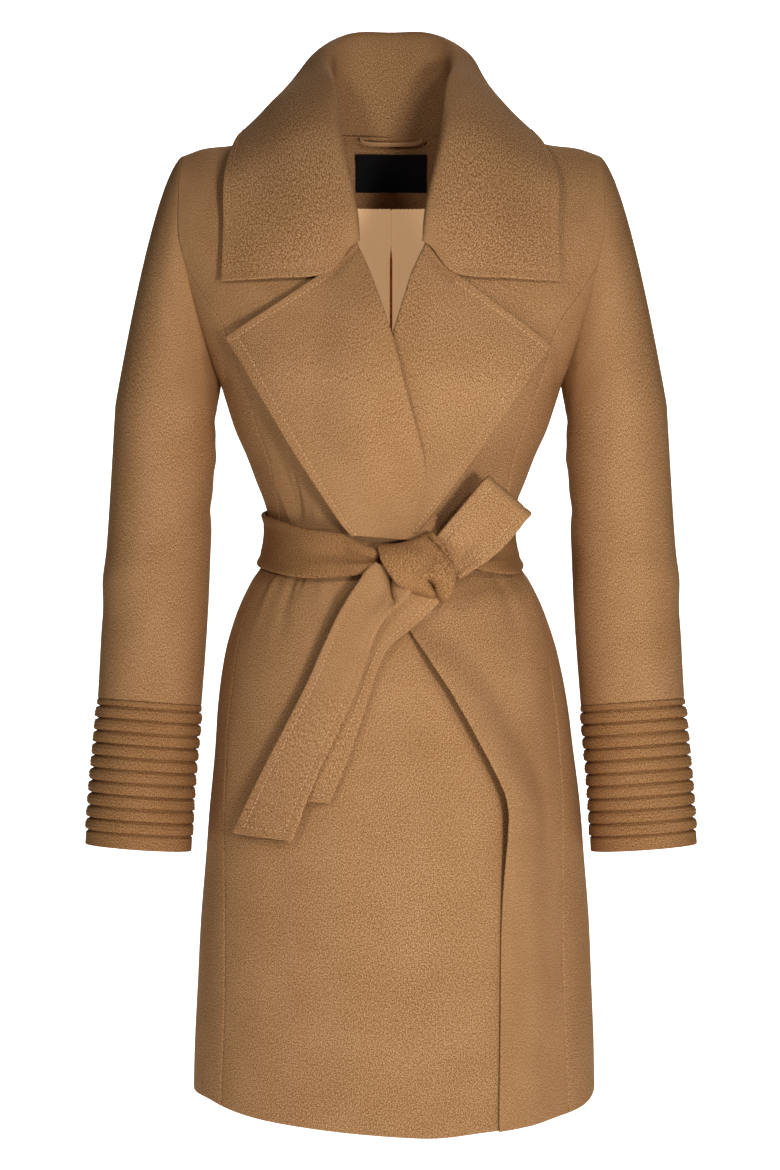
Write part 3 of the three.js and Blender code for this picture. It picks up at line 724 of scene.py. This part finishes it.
# %% Collar
collar_back = table("seam stand inside top outside fall low edge",
    ((0, 54, 6), (0, 64, 56), (0, 70, 100), (0, 77, 113),
     (0, 87, 102), (0, 95, 72), (0, 101, 40), (0, 107, 12)),
    ((30, 50, 7), (31, 60, 56), (32, 65, 99), (35, 72, 112),
     (41, 82, 101), (47, 90, 70), (53, 97, 38), (59, 103, 9)),
    ((53, 36, 11), (53, 45, 52), (52, 48, 86), (58, 55, 99),
     (76, 64, 88), (90, 73, 60), (97, 80, 31), (101, 87, 4)),
    ((64, 17, 19), (62, 21, 44), (57, 22, 63), (62, 26, 76),
     (78, 33, 70), (107, 41, 47), (122, 48, 23), (131, 54, 3)),
    ((65, -6, 23), (62, -9, 32), (53, -12, 40), (54, -13, 50),
     (69, -6, 50), (104, 0, 35), (127, 4, 18), (143, 6, 5)))
# in front, a point is x, z and its lift off the form
collar_front = table("seam stand inside top outside fall low edge",
    ((59, -8, 3.4), (56, -5, 8), (47, -8, 15), (45, -14, 21),
     (54, -12, 27), (86, -20, 24), (120, -32, 15), (152, -44, 11)),
    ((46, -66, 3.2), (42, -68, 6), (35, -71, 10), (32, -76, 14),
     (39, -80, 18), (76, -87, 17), (114, -91, 12), (151, -93, 7.5)),
    ((33.5, -99, 3.2), (32.5, -100, 4), (30.5, -104, 5), (29.3, -107.5, 6),
     (36, -113, 6.8), (57, -136.5, 7.5), (104, -140.5, 10.5), (150, -140, 9)))


def front_xyz(x, z, lift):
    """Point at x and z of the front, moved out by its lift."""
    x, z = np.array([float(x)]), np.array([float(z)])
    turn, level = turn_of(x, z), level_of(x, z)
    return (form_point(turn, level) + form_normal(turn, level) * lift)[0]


net = [list(row.values()) for row in collar_back]
net += [[front_xyz(*place) for place in row.values()] for row in collar_front]
net = np.array(net, float)
collar_net = np.concatenate([(net[1:] * [-1, 1, 1])[::-1], net])
collar_net[-6:-3, 5:, 0] -= 6.5      # the left side falls a little closer


def collar_surface(u, v):
    """Curves along each section first, then across the sections."""
    sections = np.stack([curve_through(row, u) for row in collar_net])
    i, f = find_span(len(collar_net), v)
    last = len(collar_net) - 1
    pick = lambda n: np.take_along_axis(sections, np.clip(n, 0, last)[None, ..., None], 0)[0]
    return bend_between(pick(i - 1), pick(i), pick(i + 1), pick(i + 2), f)


cloth("collar", collar_surface, DOUBLE_WALL, spacing=2.6, edges=(SEAM_EDGE, 1, 1, 1),
      stitched=("u1", "v0", "v1"))

# %% [markdown]
# ## Inside the neck
# Only what shows through the neck is built: the facing of coat cloth, a blank label,
# a hanger loop and the top of the satin lining with its pleat.

# %% Neck pieces
FACING_LOW, FACING_HALF = -56, 60
LINING_LOW, LINING_HALF = -250, 92
LOOP_WIDE, LOOP_UP = 3.4, 11.0
LABEL_WIDE, LABEL_TALL, LABEL_TOP = 70, 36, -1.8


def facing_surface(u, v):
    """Inside of the back, from a curved lower edge to the neck seam."""
    x = mix(-FACING_HALF, FACING_HALF, u)
    low = FACING_LOW + 6 * np.abs(x / FACING_HALF) ** 3
    high = 9 + np.abs(x / FACING_HALF) ** 2
    return inside_back(x, mix(low, high, v), 6.6 - 5 * ease(0.6, 1, v))


def lining_surface(sign):
    def point(u, v):
        """Satin hanging from the facing; below the tacked pleat the halves part a little."""
        z = mix(FACING_LOW + 3, LINING_LOW, v)
        x = sign * mix(0.15 + 1.2 * ease(-90, -104, z), LINING_HALF, u)
        pleat = 2.2 * bell(np.abs(x) - 5, 6) * ease(-62, -100, z)
        return inside_back(x, z, 6.9 + pleat)
    return point


def label_surface(u, v):
    """Flat label laid on the facing."""
    return inside_back(mix(-0.5, 0.5, u) * LABEL_WIDE, LABEL_TOP - LABEL_TALL * v, 9)


# x, z and inset of the loop's middle line
loop_path = [(-31, 1, 9.4), (-27, -1, 10.4), (-20, -1.6, 11.4), (0, -1.8, 11.6),
             (20, -1.6, 11.4), (27, -1, 10.4), (31, 1, 9.4)]


def loop_surface(u, v):
    """Flat tape along a shallow bridge."""
    path = curve_through(loop_path, v)
    return inside_back(path[..., 0], path[..., 1] + LOOP_WIDE * (u - 0.5) + LOOP_UP, path[..., 2])


cloth("back_neck_facing", facing_surface, 1.6, edges=(SEAM_EDGE, SEAM_EDGE, 1, SEAM_EDGE))
cloth("right_back_lining", lining_surface(-1), 1.0, slot="lining")
cloth("left_back_lining", lining_surface(1), 1.0, slot="lining")
cloth("neck_label", label_surface, 0.9, spacing=2, slot="label")
cloth("hanger_loop", loop_surface, 1.2, spacing=1.2, slot="lining")

# %% [markdown]
# ## The belt
# The belt is a folded strip of the same cloth, tied in a half bow. Each stretch is a
# ribbon along its own path; near the knot it narrows and gathers into long ridges.

# %% Belt stretches
belt_rows = table("turn z half lift",
    (-180, -371, 26, 5.6),
    (-135, -371, 26, 5.6),
    (-90, -375, 26.5, 6),
    (-60, -380, 26, 7.5),
    (-38, -386, 24.5, 12),
    (-20, -388, 21.5, 17),
    (-13.5, -391.3, 16.8, 22),
    (-5, -393.6, 11.5, 26),
    (27, -389, 12.5, 27),
    (38, -389, 18, 18),
    (60, -387, 22, 8),
    (78, -381, 22.5, 4.5),
    (90, -379, 23, 3.4),
    (110, -378, 25, 4.6),
    (135, -376, 26, 5.6),
    (180, -371, 26, 5.6))


def belt_surface(turn_from, turn_to):
    def point(u, v):
        """Ribbon round the waist with ridges that fade away from the knot."""
        turn = mix(turn_from, turn_to, v)
        get = lambda column: read_table(belt_rows, "turn", column, turn)
        z = get("z") + (u - 0.5) * 2 * get("half")
        near = ease(62, 8, np.abs(turn - 9))
        ridges = near * (3.2 * np.sin(np.pi * (u * 3.4 - 0.32)) - 1)
        return form_point(turn, z) + form_normal(turn, z) * (get("lift") + ridges)[..., None]
    return point


def tail_surface(rows, ridge, groove):
    """Ribbon between a left and a right edge on the front, with fading ridges and a groove."""
    path = np.array([list(row.values()) for row in rows], float)

    def point(u, v):
        left_x, left_z, right_x, right_z, lift = np.moveaxis(curve_through(path, v), -1, 0)
        ridges = ridge * ease(0.45, 0, v) * np.sin(np.pi * (u * 2.4 + 0.3))
        crease = 0.47 + 0.3 * np.minimum(v / 0.2, 1.1) ** 3
        ridges -= groove * bell(u - crease, 0.06) * ease(0.25, 0.19, v)
        return on_front(mix(left_x, right_x, u), mix(left_z, right_z, u), lift + ridges)
    return point


front_tail_rows = table("left_x left_z right_x right_z lift",
    (-14, -395, 24, -413, 26),
    (-25, -409, 14, -429, 27),
    (-46, -440, -8, -449, 24),
    (-62, -472, -20, -477, 20.5),
    (-78, -506, -33, -513, 18),
    (-112, -572, -64, -578, 16),
    (-143, -637, -87.5, -639, 15))
rear_tail_rows = table("left_x left_z right_x right_z lift",
    (10, -404, 47, -421, 24),
    (0, -422, 41, -433, 20),
    (-20, -440, 19, -452, 14),
    (-42, -462, -1, -468, 11.5),
    (-54, -484, -11, -487, 10.5),
    (-66, -512, -22, -520, 9.8),
    (-86, -562, -37.5, -565, 9.2),
    (-106, -604, -54, -605, 8.8))

# %% Bow loop and knot
# corners of the folded loop seen from the front, in mm: low and high side
BOW = dict(base_low=(61, -406), base_high=(24, -387), end_low=(119, -354), end_high=(80, -320),
           gape=6.5, lift=34)
BOW_WAY = np.array([0.72, 0.70])
KNOT = dict(deep=15, lift=29)
# how far up the wrap, then its left and right edges
knot_rows = table("up left_x left_z right_x right_z",
    (-1, 16, -416, 50, -425),
    (-0.5, 4.5, -409, 56.5, -409),
    (0, -2.5, -399.5, 55.5, -394),
    (0.5, -9, -389, 47.5, -378),
    (1, -12.5, -377.5, 38, -365))
bow_base_y = -reach(np.array(0.35), np.array(-380.0), False)
knot_base_y = -reach(np.array(0.2), np.array(-385.0), False)


def line_bell(u, v, row):
    """Bell across a short line from (u, v) to (to_u, to_v)."""
    way = np.array([row["to_u"] - row["u"], row["to_v"] - row["v"]])
    here = np.stack([u - row["u"], v - row["v"]], axis=-1)
    share = np.clip(here @ way / (way @ way), 0, 1)
    gap = np.linalg.norm(here - share[..., None] * way, axis=-1)
    return row["high"] * bell(gap, row["wide"])


# u across the loop from its low side, v outwards
bow_fold_rows = table("u v to_u to_v wide high",
    (0.0, 0.05, 0.35, 0.0, 0.10, 2.5),
    (0.30, 0.10, 0.42, 0.30, 0.10, -3.2),
    (0.62, 0.0, 0.75, 0.35, 0.12, 1.8),
    (0.16, 0.05, 0.2, 0.2, 0.07, -2.0))


def bow_surface(u, v):
    """Out along the front layer, half a turn over the fold, and back behind it."""
    turn = np.clip((v - 0.42) / 0.16, 0, 1) * np.pi
    outward = 1 - np.abs(2 * v - 1)
    share = np.minimum(1, outward / 0.84)
    corner = {key: np.array(BOW[key], float) for key in BOW if "_" in key}
    low = mix(corner["base_low"], corner["end_low"], share[..., None])
    high = mix(corner["base_high"], corner["end_high"], share[..., None])
    flat = mix(low, high, u[..., None]) + BOW_WAY * (BOW["gape"] * np.sin(turn))[..., None]
    belly = 4.5 * np.sin(np.pi * share) * (1 - u) ** 2
    flat = flat + np.array([0.7, -0.72]) * belly[..., None]
    depth = BOW["gape"] * np.cos(turn) * (0.75 + 0.25 * np.minimum(1, outward))
    depth = depth - 9 * ease(0.34, 0.1, outward)        # the base goes in behind the knot
    folds = sum(line_bell(u, outward, row) for row in bow_fold_rows) * (v < 0.5)
    return stack(flat[..., 0], bow_base_y - BOW["lift"] - depth - folds, flat[..., 1])


# u up the wrap and v along it, both -1 to 1
knot_fold_rows = table("u v to_u to_v wide high",
    (-0.42, 0.14, -0.6, 0.22, 0.12, -11.0),
    (-0.6, 0.22, -1.1, 0.5, 0.09, -11.0),
    (0.0, 0.55, -1.0, 0.85, 0.22, 3.5),
    (-0.25, 0.0, -0.2, 0.3, 0.14, 2.4),
    (0.95, 0.75, 0.1, 0.95, 0.09, -3.5),
    (0.75, 0.35, 0.95, -0.1, 0.22, -2.0),
    (0.6, -0.85, -0.6, -0.75, 0.14, 1.5),
    (0.2, 0.3, 0.6, 0.6, 0.2, -1.6))


def knot_surface(u, v):
    """A band wrapped once round: read off its two edges at each height, with the depth
    of an ellipse, and folds as bells across short lines."""
    angle = 2 * np.pi * u
    w = 2 * v - 1
    up, facing = np.sin(angle), np.cos(angle)
    get = lambda column: read_table(knot_rows, "up", column, up)
    swell = 1 - 0.18 * w * w
    folds = sum(line_bell(up, w, row) for row in knot_fold_rows)
    folds = folds * np.clip(facing * 2 + 0.4, 0, 1)
    sag = 3.5 * (1 - w * w) * np.clip(up, 0, 1)
    x = mix(get("left_x"), get("right_x"), v)
    z = mix(get("left_z"), get("right_z"), v) - sag
    return stack(x, knot_base_y - KNOT["lift"] - KNOT["deep"] * swell * facing - folds, z)


BELT_END = 179.85       # just short of the back middle, where the stretches meet
LONG_EDGES = ("u0", "u1")
belt_parts = table("name point spacing stitched closed",
    ("belt_right_stretch", belt_surface(-5, -BELT_END), 2.4, LONG_EDGES, False),
    ("belt_left_stretch", belt_surface(26, BELT_END), 2.4, LONG_EDGES, False),
    ("belt_front_tail", tail_surface(front_tail_rows, 4.0, 8), 2.4, LONG_EDGES + ("v1",), False),
    ("belt_rear_tail", tail_surface(rear_tail_rows, 1.4, 0), 2.4, LONG_EDGES + ("v1",), False),
    ("belt_bow_loop", bow_surface, 2, LONG_EDGES, False),
    ("belt_knot", knot_surface, 1.6, (), True))
# every belt part gets the darker copy of the wool, painted shade; the free ends go back to the
# main wool when dressed
for part in belt_parts:
    cloth(wall=BELT_WALL, slot="belt_wool", **part)

# %% [markdown]
# ## Stitches
# A hand-like pick stitch runs inside the collar, lapel, front and belt edges. It could
# be painted, but at this size each stitch catches light, so it is a small rounded
# thread, laid over the cloth again and again along a path.

# %% Stitch maker
STITCH_LONG, STITCH_PITCH, STITCH_THICK = 2.9, 4.4, 0.55


def stitch_run(name, path, normal):
    """Short spindles of thread along a path: a ring of six points at five stations, the
    middle ones full, the end ones pinched and sunk into the cloth."""
    run = run_length(path, 0)
    count = int(run[-1] / STITCH_PITCH)
    starts = (np.arange(count) + 0.5) * run[-1] / count
    stations = np.array([-0.5, -0.36, 0, 0.36, 0.5]) * STITCH_LONG
    rise = np.array([-0.5, 0.15, 0.4, 0.15, -0.5])
    size = np.array([0.15, 0.8, 1, 0.8, 0.15]) * STITCH_THICK
    at = starts[:, None] + stations
    centre = np.stack([np.interp(at, run, path[:, n]) for n in range(3)], axis=-1)
    up = np.stack([np.interp(starts, run, normal[:, n]) for n in range(3)], axis=-1)
    side = unit(np.cross(unit(centre[:, -1] - centre[:, 0]), up))
    angle = np.linspace(0, 2 * np.pi, 6, endpoint=False)
    ring = (np.cos(angle)[:, None] * side[:, None, None]
            + np.sin(angle)[:, None] * up[:, None, None])
    points = (centre + rise[:, None] * up[:, None])[:, :, None] + ring * size[:, None, None]
    k = np.arange(6)
    quad = [np.stack([s * 6 + k, s * 6 + (k + 1) % 6, s * 6 + 6 + (k + 1) % 6, s * 6 + 6 + k], 1)
            for s in range(4)]
    caps = np.array([[0, 1, 2, 3], [0, 3, 4, 5], [27, 26, 25, 24], [29, 28, 27, 24]])
    one = np.concatenate(quad + [caps])
    faces = (one[None] + np.arange(count)[:, None, None] * 30).reshape(-1, 4)
    return mesh_object(name, points.reshape(-1, 3) * MM, faces)


def edge_path(name, edge, start, end):
    """A path on a piece's outer side, STITCH_INSET in from one of its edges."""
    p = pieces[name]
    t = np.linspace(start, end, 240)
    share = STITCH_INSET / (p["wide"] if edge[0] == "u" else p["tall"])
    if edge[1] == "1":
        share = 1 - share
    fixed = np.full_like(t, share)
    u, v = (fixed, t) if edge[0] == "u" else (t, fixed)
    e = 1e-3
    here = p["point"](u, v)
    du = p["point"](np.clip(u + e, 0, 1), v) - p["point"](np.clip(u - e, 0, 1), v)
    dv = p["point"](u, np.clip(v + e, 0, 1)) - p["point"](u, np.clip(v - e, 0, 1))
    n = unit(np.cross(du, dv))
    outward = here * [1, 1, 0] - [0, 20, 0]
    n = n * np.sign((n * outward).sum(axis=-1, keepdims=True))
    return here + n * (p["half"] - 0.2), n


stitch_rows = table("piece edge start end",
    ("collar", "u1", 0.02, 0.98),
    ("collar", "v0", 0.72, 0.96),
    ("collar", "v1", 0.72, 0.96),
    ("right_lapel", "u1", 0.03, 1.0),
    ("right_lapel", "v0", 0.28, 0.96),
    ("left_lapel", "u1", 0.03, 1.0),
    ("left_lapel", "v0", 0.28, 0.96),
    ("belt_front_tail", "u0", 0.45, 0.97),
    ("belt_front_tail", "u1", 0.68, 0.97),
    ("belt_front_tail", "v1", 0.12, 0.88),
    ("belt_rear_tail", "u1", 0.04, 0.97),
    ("belt_rear_tail", "v1", 0.12, 0.88),
    ("belt_bow_loop", "u0", 0.04, 0.46),
    ("belt_bow_loop", "u1", 0.04, 0.46))
stitches = []
for number, row in enumerate(stitch_rows):
    path, normal = edge_path(row["piece"], row["edge"], row["start"], row["end"])
    stitches.append(stitch_run("%s_stitches_%02d" % (row["piece"], number), path, normal))
print(len(stitches), "stitch lines")

# %% [markdown]
# ## Shader maths
# Node graphs are easier to read as formulas. `Value` wraps a socket so that + - and *
# add Math nodes, and `Graph.node` makes any other node in one call.

# %% Node helpers
class Value:
    """A number that varies over the surface."""

    def __init__(self, graph, socket):
        self.graph, self.socket = graph, socket

    def _math(self, operation, a, b):
        return self.graph.number("ShaderNodeMath", {"operation": operation}, {0: a, 1: b})

    def __add__(self, other):
        return self._math("ADD", self, other)

    def __radd__(self, other):
        return self._math("ADD", other, self)

    def __sub__(self, other):
        return self._math("SUBTRACT", self, other)

    def __rsub__(self, other):
        return self._math("SUBTRACT", other, self)

    def __mul__(self, other):
        return self._math("MULTIPLY", self, other)

    def __rmul__(self, other):
        return self._math("MULTIPLY", other, self)


class Graph:
    """The node tree of one material."""

    def __init__(self, name):
        self.material = bpy.data.materials.new(name)
        self.material.use_nodes = True
        self.tree = self.material.node_tree
        self.shader = self.tree.nodes["Principled BSDF"]

    def node(self, kind, settings=None, sockets=None):
        """A node of any kind, with its settings and what goes into its sockets."""
        made = self.tree.nodes.new(kind)
        for key, value in (settings or {}).items():
            if key == "stops":
                ramp = made.color_ramp
                while len(ramp.elements) < len(value):
                    ramp.elements.new(0.5)
                for stop, (place, colour) in zip(ramp.elements, value):
                    stop.position, stop.color = place, colour
            else:
                setattr(made, key, value)
        for key, value in (sockets or {}).items():
            self.feed(made.inputs[key], value)
        return made

    def feed(self, socket, value):
        """A link from another node, or a constant straight on the socket."""
        if isinstance(value, Value):
            self.tree.links.new(value.socket, socket)
        elif isinstance(value, bpy.types.NodeSocket):
            self.tree.links.new(value, socket)
        else:
            socket.default_value = value

    def shade(self, sockets):
        """Feed inputs of the shader."""
        for key, value in sockets.items():
            self.feed(self.shader.inputs[key], value)

    def number(self, kind, settings, sockets):
        return Value(self, self.node(kind, settings, sockets).outputs[0])

    def place(self, kind="UV"):
        return self.node("ShaderNodeTexCoord").outputs[kind]

    def noise(self, place, scale, detail=2.0, rough=0.5, stretch=None, dimensions="2D"):
        """Cloudy noise at a place that may first be stretched along its axes."""
        if stretch:
            mapping = self.node("ShaderNodeMapping", {}, {"Vector": place, "Scale": stretch})
            place = mapping.outputs[0]
        return self.number("ShaderNodeTexNoise", {"noise_dimensions": dimensions}, {
            "Vector": place, "Scale": scale, "Detail": detail, "Roughness": rough})

    def bump(self, height, strength, distance):
        return self.node("ShaderNodeBump", {}, {
            "Height": height, "Strength": strength, "Distance": distance}).outputs["Normal"]

    def colour_mix(self, factor, a, b):
        """a where factor is 0, b where it is 1."""
        return self.node("ShaderNodeMix", {"data_type": "RGBA"}, {
            "Factor": factor, "A": a, "B": b}).outputs["Result"]


# %% [markdown]
# ## Brushed wool
# The cloth's face is a nap: short hairs brushed down the coat. Up close it is streaked
# in fine flecks lighter and darker than the ground, and over a hand's width it clouds
# slightly where the pile lies another way. Both are noise on the cloth's own UV map.

# %% Materials
def srgb(hexa):
    """Hex colour to the linear values that a shader takes."""
    c = np.array([int(hexa[i:i + 2], 16) for i in (0, 2, 4)]) / 255
    linear = np.where(c <= 0.04045, c / 12.92, ((c + 0.055) / 1.055) ** 2.4)
    return (*linear, 1.0)


def wool(name, dark, middle, light):
    """Two streaky noises, and a little of a broad one, read off a ramp of three tones."""
    g = Graph(name)
    uv = g.place()
    fleck = g.noise(uv, 800, 3, 0.8, (1.5, 0.8, 1))
    grain = g.noise(uv, 1500, 2, 0.7, (1.4, 0.6, 1))
    cloud = g.noise(uv, 26, 3, 0.5, (1, 0.7, 1))
    pile = fleck * 0.55 + grain * 0.45
    ramp = g.node("ShaderNodeValToRGB", {"stops": [(0.41, dark), (0.5, middle), (0.59, light)]},
                  {"Fac": pile + (cloud - 0.5) * 0.04})
    g.shade({"Base Color": ramp.outputs["Color"],
             "Roughness": 0.96 - pile * 0.16,
             "Normal": g.bump(fleck * 0.7 + grain * 0.3, 0.26, 0.0012),
             "Sheen Weight": 0.05, "Sheen Roughness": 0.45, "Sheen Tint": srgb("d9b48a"),
             "Specular IOR Level": 0.06})
    return g.material


def satin(name, dark, light, painted_glow=0.5):
    """Smooth lining. It gives off a little light of its own: painted light, standing in for the
    light caught inside the neck.
    """
    g = Graph(name)
    uv = g.place()
    twill, slow = g.noise(uv, 700), g.noise(uv, 18)
    g.shade({"Base Color": g.colour_mix(twill * 0.5 + slow * 0.5, dark, light),
             "Roughness": 0.42 + slow * 0.12,
             "Normal": g.bump(twill, 0.12, 0.0004),
             "Sheen Weight": 0.15, "Emission Color": light, "Emission Strength": painted_glow})
    return g.material


def woven_label(name):
    """Fine noise between two near blacks."""
    g = Graph(name)
    weave = g.noise(g.place(), 1600, 1.0)
    black, less_black = (0.002, 0.002, 0.0025, 1), (0.012, 0.012, 0.013, 1)
    g.shade({"Base Color": g.colour_mix(weave, black, less_black),
             "Roughness": 0.62 + weave * 0.15, "Specular IOR Level": 0.2})
    return g.material


def thread(name, colour):
    """Fine noise between the colour and a shade of it."""
    g = Graph(name)
    twist = g.noise(g.place("Object"), 1500, dimensions="3D")
    shaded = tuple(0.75 * c for c in colour[:3]) + (1,)
    g.shade({"Base Color": g.colour_mix(twist, shaded, colour), "Roughness": 0.6 + twist * 0.2})
    return g.material


materials = {
    "wool": wool("brushed_wool", srgb("7b5630"), srgb("a27a53"), srgb("c6a17c")),
    # a darker copy of the same wool, painted shade: it darkens the belt's stretches and knot and
    # the cuffs' grooves
    "belt_wool": wool("painted_shade_brushed_wool", srgb("704b28"), srgb("966e47"), srgb("ba946e")),
    # the lining gives off light at the default strength: painted light inside the neck
    "lining": satin("lining_satin", srgb("c09468"), srgb("dcb48a")),
    "label": woven_label("label_weave"),
    "thread": thread("stitch_thread", srgb("d9b185")),
    "collar_thread": thread("darker_stitch_thread", srgb("b98c5f")),
    "tape": satin("tape_satin", srgb("a67c52"), srgb("c29a70"), 0),
}

# %% Dress every piece
for name, made in pieces.items():
    piece = made["object"]
    look = "tape" if name == "hanger_loop" else made["slot"]
    if "cuff" in name:
        look = "belt_wool"      # painted shade: the darker copy of the wool stands in for the shade in the cuff's grooves
    if name in ("belt_front_tail", "belt_rear_tail", "belt_bow_loop"):
        look = "wool"           # the free ends keep the main wool, without the painted shade of the rest of the belt
    piece.data.materials.append(materials[look])
    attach(piece, "root")
    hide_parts(name)
    if name != "hanger_loop":
        made["wide"] * MM
        made["tall"] * MM
for thread_run in stitches:
    tone = "collar_thread" if thread_run.name.startswith("collar") else "thread"
    thread_run.data.materials.append(materials[tone])
    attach(thread_run, "root")

# %% [markdown]
# ## Stage, camera and light
# A plain pale sweep, a soft key light in front on the right, weaker ones from above on
# both sides and behind, and a long lens level with the waist.

# %% Stage
FLOOR_Z = -1.10
depth = np.array([-3.0, 2.4, 2.7, 2.95, 3.1, 3.15, 3.15])
height = np.array([0, 0, 0.05, 0.2, 0.5, 0.9, 2.6]) + FLOOR_Z
edges_x = np.array([-1.4, 1.4])
sweep_points = np.array([(x, y, z) for y, z in zip(depth, height) for x in edges_x])
n = np.arange(len(depth) - 1)
sweep_faces = np.stack([2 * n, 2 * n + 1, 2 * n + 3, 2 * n + 2], axis=1)
sweep = bpy.data.meshes.new("sweep")
sweep.from_pydata(sweep_points.tolist(), [], sweep_faces.tolist())
floor = add_object("studio_floor", sweep)
paper = Graph("studio_paper")
back_side = paper.node("ShaderNodeNewGeometry").outputs["Backfacing"]
paper.shade({"Base Color": (0.9, 0.9, 0.9, 1), "Roughness": 0.9,
             "Alpha": 1 - Value(paper, back_side),      # clear from behind
             "Emission Color": (1, 1, 1, 1), "Emission Strength": 0.5})
sweep.materials.append(paper.material)
for polygon in sweep.polygons:
    polygon.use_smooth = True

# %% Camera and lights
FRAME_HIGH = 1.0998      # metres across the height of the image at the coat
CAMERA_AWAY = 2.3
CAMERA_Z = -0.30
FRAME_MIDDLE_Z = -0.4183
SENSOR = 36.0
camera_data = bpy.data.cameras.new("camera")
camera_data.sensor_fit = "VERTICAL"
camera_data.sensor_height = SENSOR
camera_data.lens = SENSOR * CAMERA_AWAY / FRAME_HIGH
camera_data.shift_y = (FRAME_MIDDLE_Z - CAMERA_Z) / FRAME_HIGH
camera = add_object("camera", camera_data)
camera.location = (-0.001, -CAMERA_AWAY, CAMERA_Z)
camera.rotation_euler = (math.radians(90), 0, 0)
bpy.context.scene.camera = camera


def soft_light(name, place, target, size, power):
    """A square area light at a place, turned to face a target."""
    data = bpy.data.lights.new(name, "AREA")
    data.size, data.energy = size, power
    light = add_object(name, data)
    way = np.array(target, float) - np.array(place, float)
    flat = math.hypot(way[0], way[1])
    light.location = place
    light.rotation_euler = (math.atan2(flat, -way[2]), 0, math.atan2(way[1], way[0]) - math.pi / 2)


COAT_MIDDLE = (0, 0, -0.45)
soft_light("key", (0.42, -1.3, -0.42), COAT_MIDDLE, 0.16, 7.4)
soft_light("upper_right", (0.50, -1.3, 0.12), COAT_MIDDLE, 0.16, 3.6)
soft_light("upper_left", (-0.50, -1.3, 0.12), COAT_MIDDLE, 0.16, 3.2)
soft_light("back", (0.3, 1.3, 1.3), COAT_MIDDLE, 0.8, 10)
soft_light("backdrop_wash", (0, 1.9, 1.9), (0, 3.1, -0.4), 1.2, 62)
world = bpy.data.worlds.new("studio")
world.use_nodes = True
world.node_tree.nodes["Background"].inputs["Color"].default_value = (1, 1, 1, 1)
world.node_tree.nodes["Background"].inputs["Strength"].default_value = 0.06
bpy.context.scene.world = world
bpy.context.scene.view_settings.view_transform = "Standard"
bpy.context.scene.view_settings.look = "Medium High Contrast"
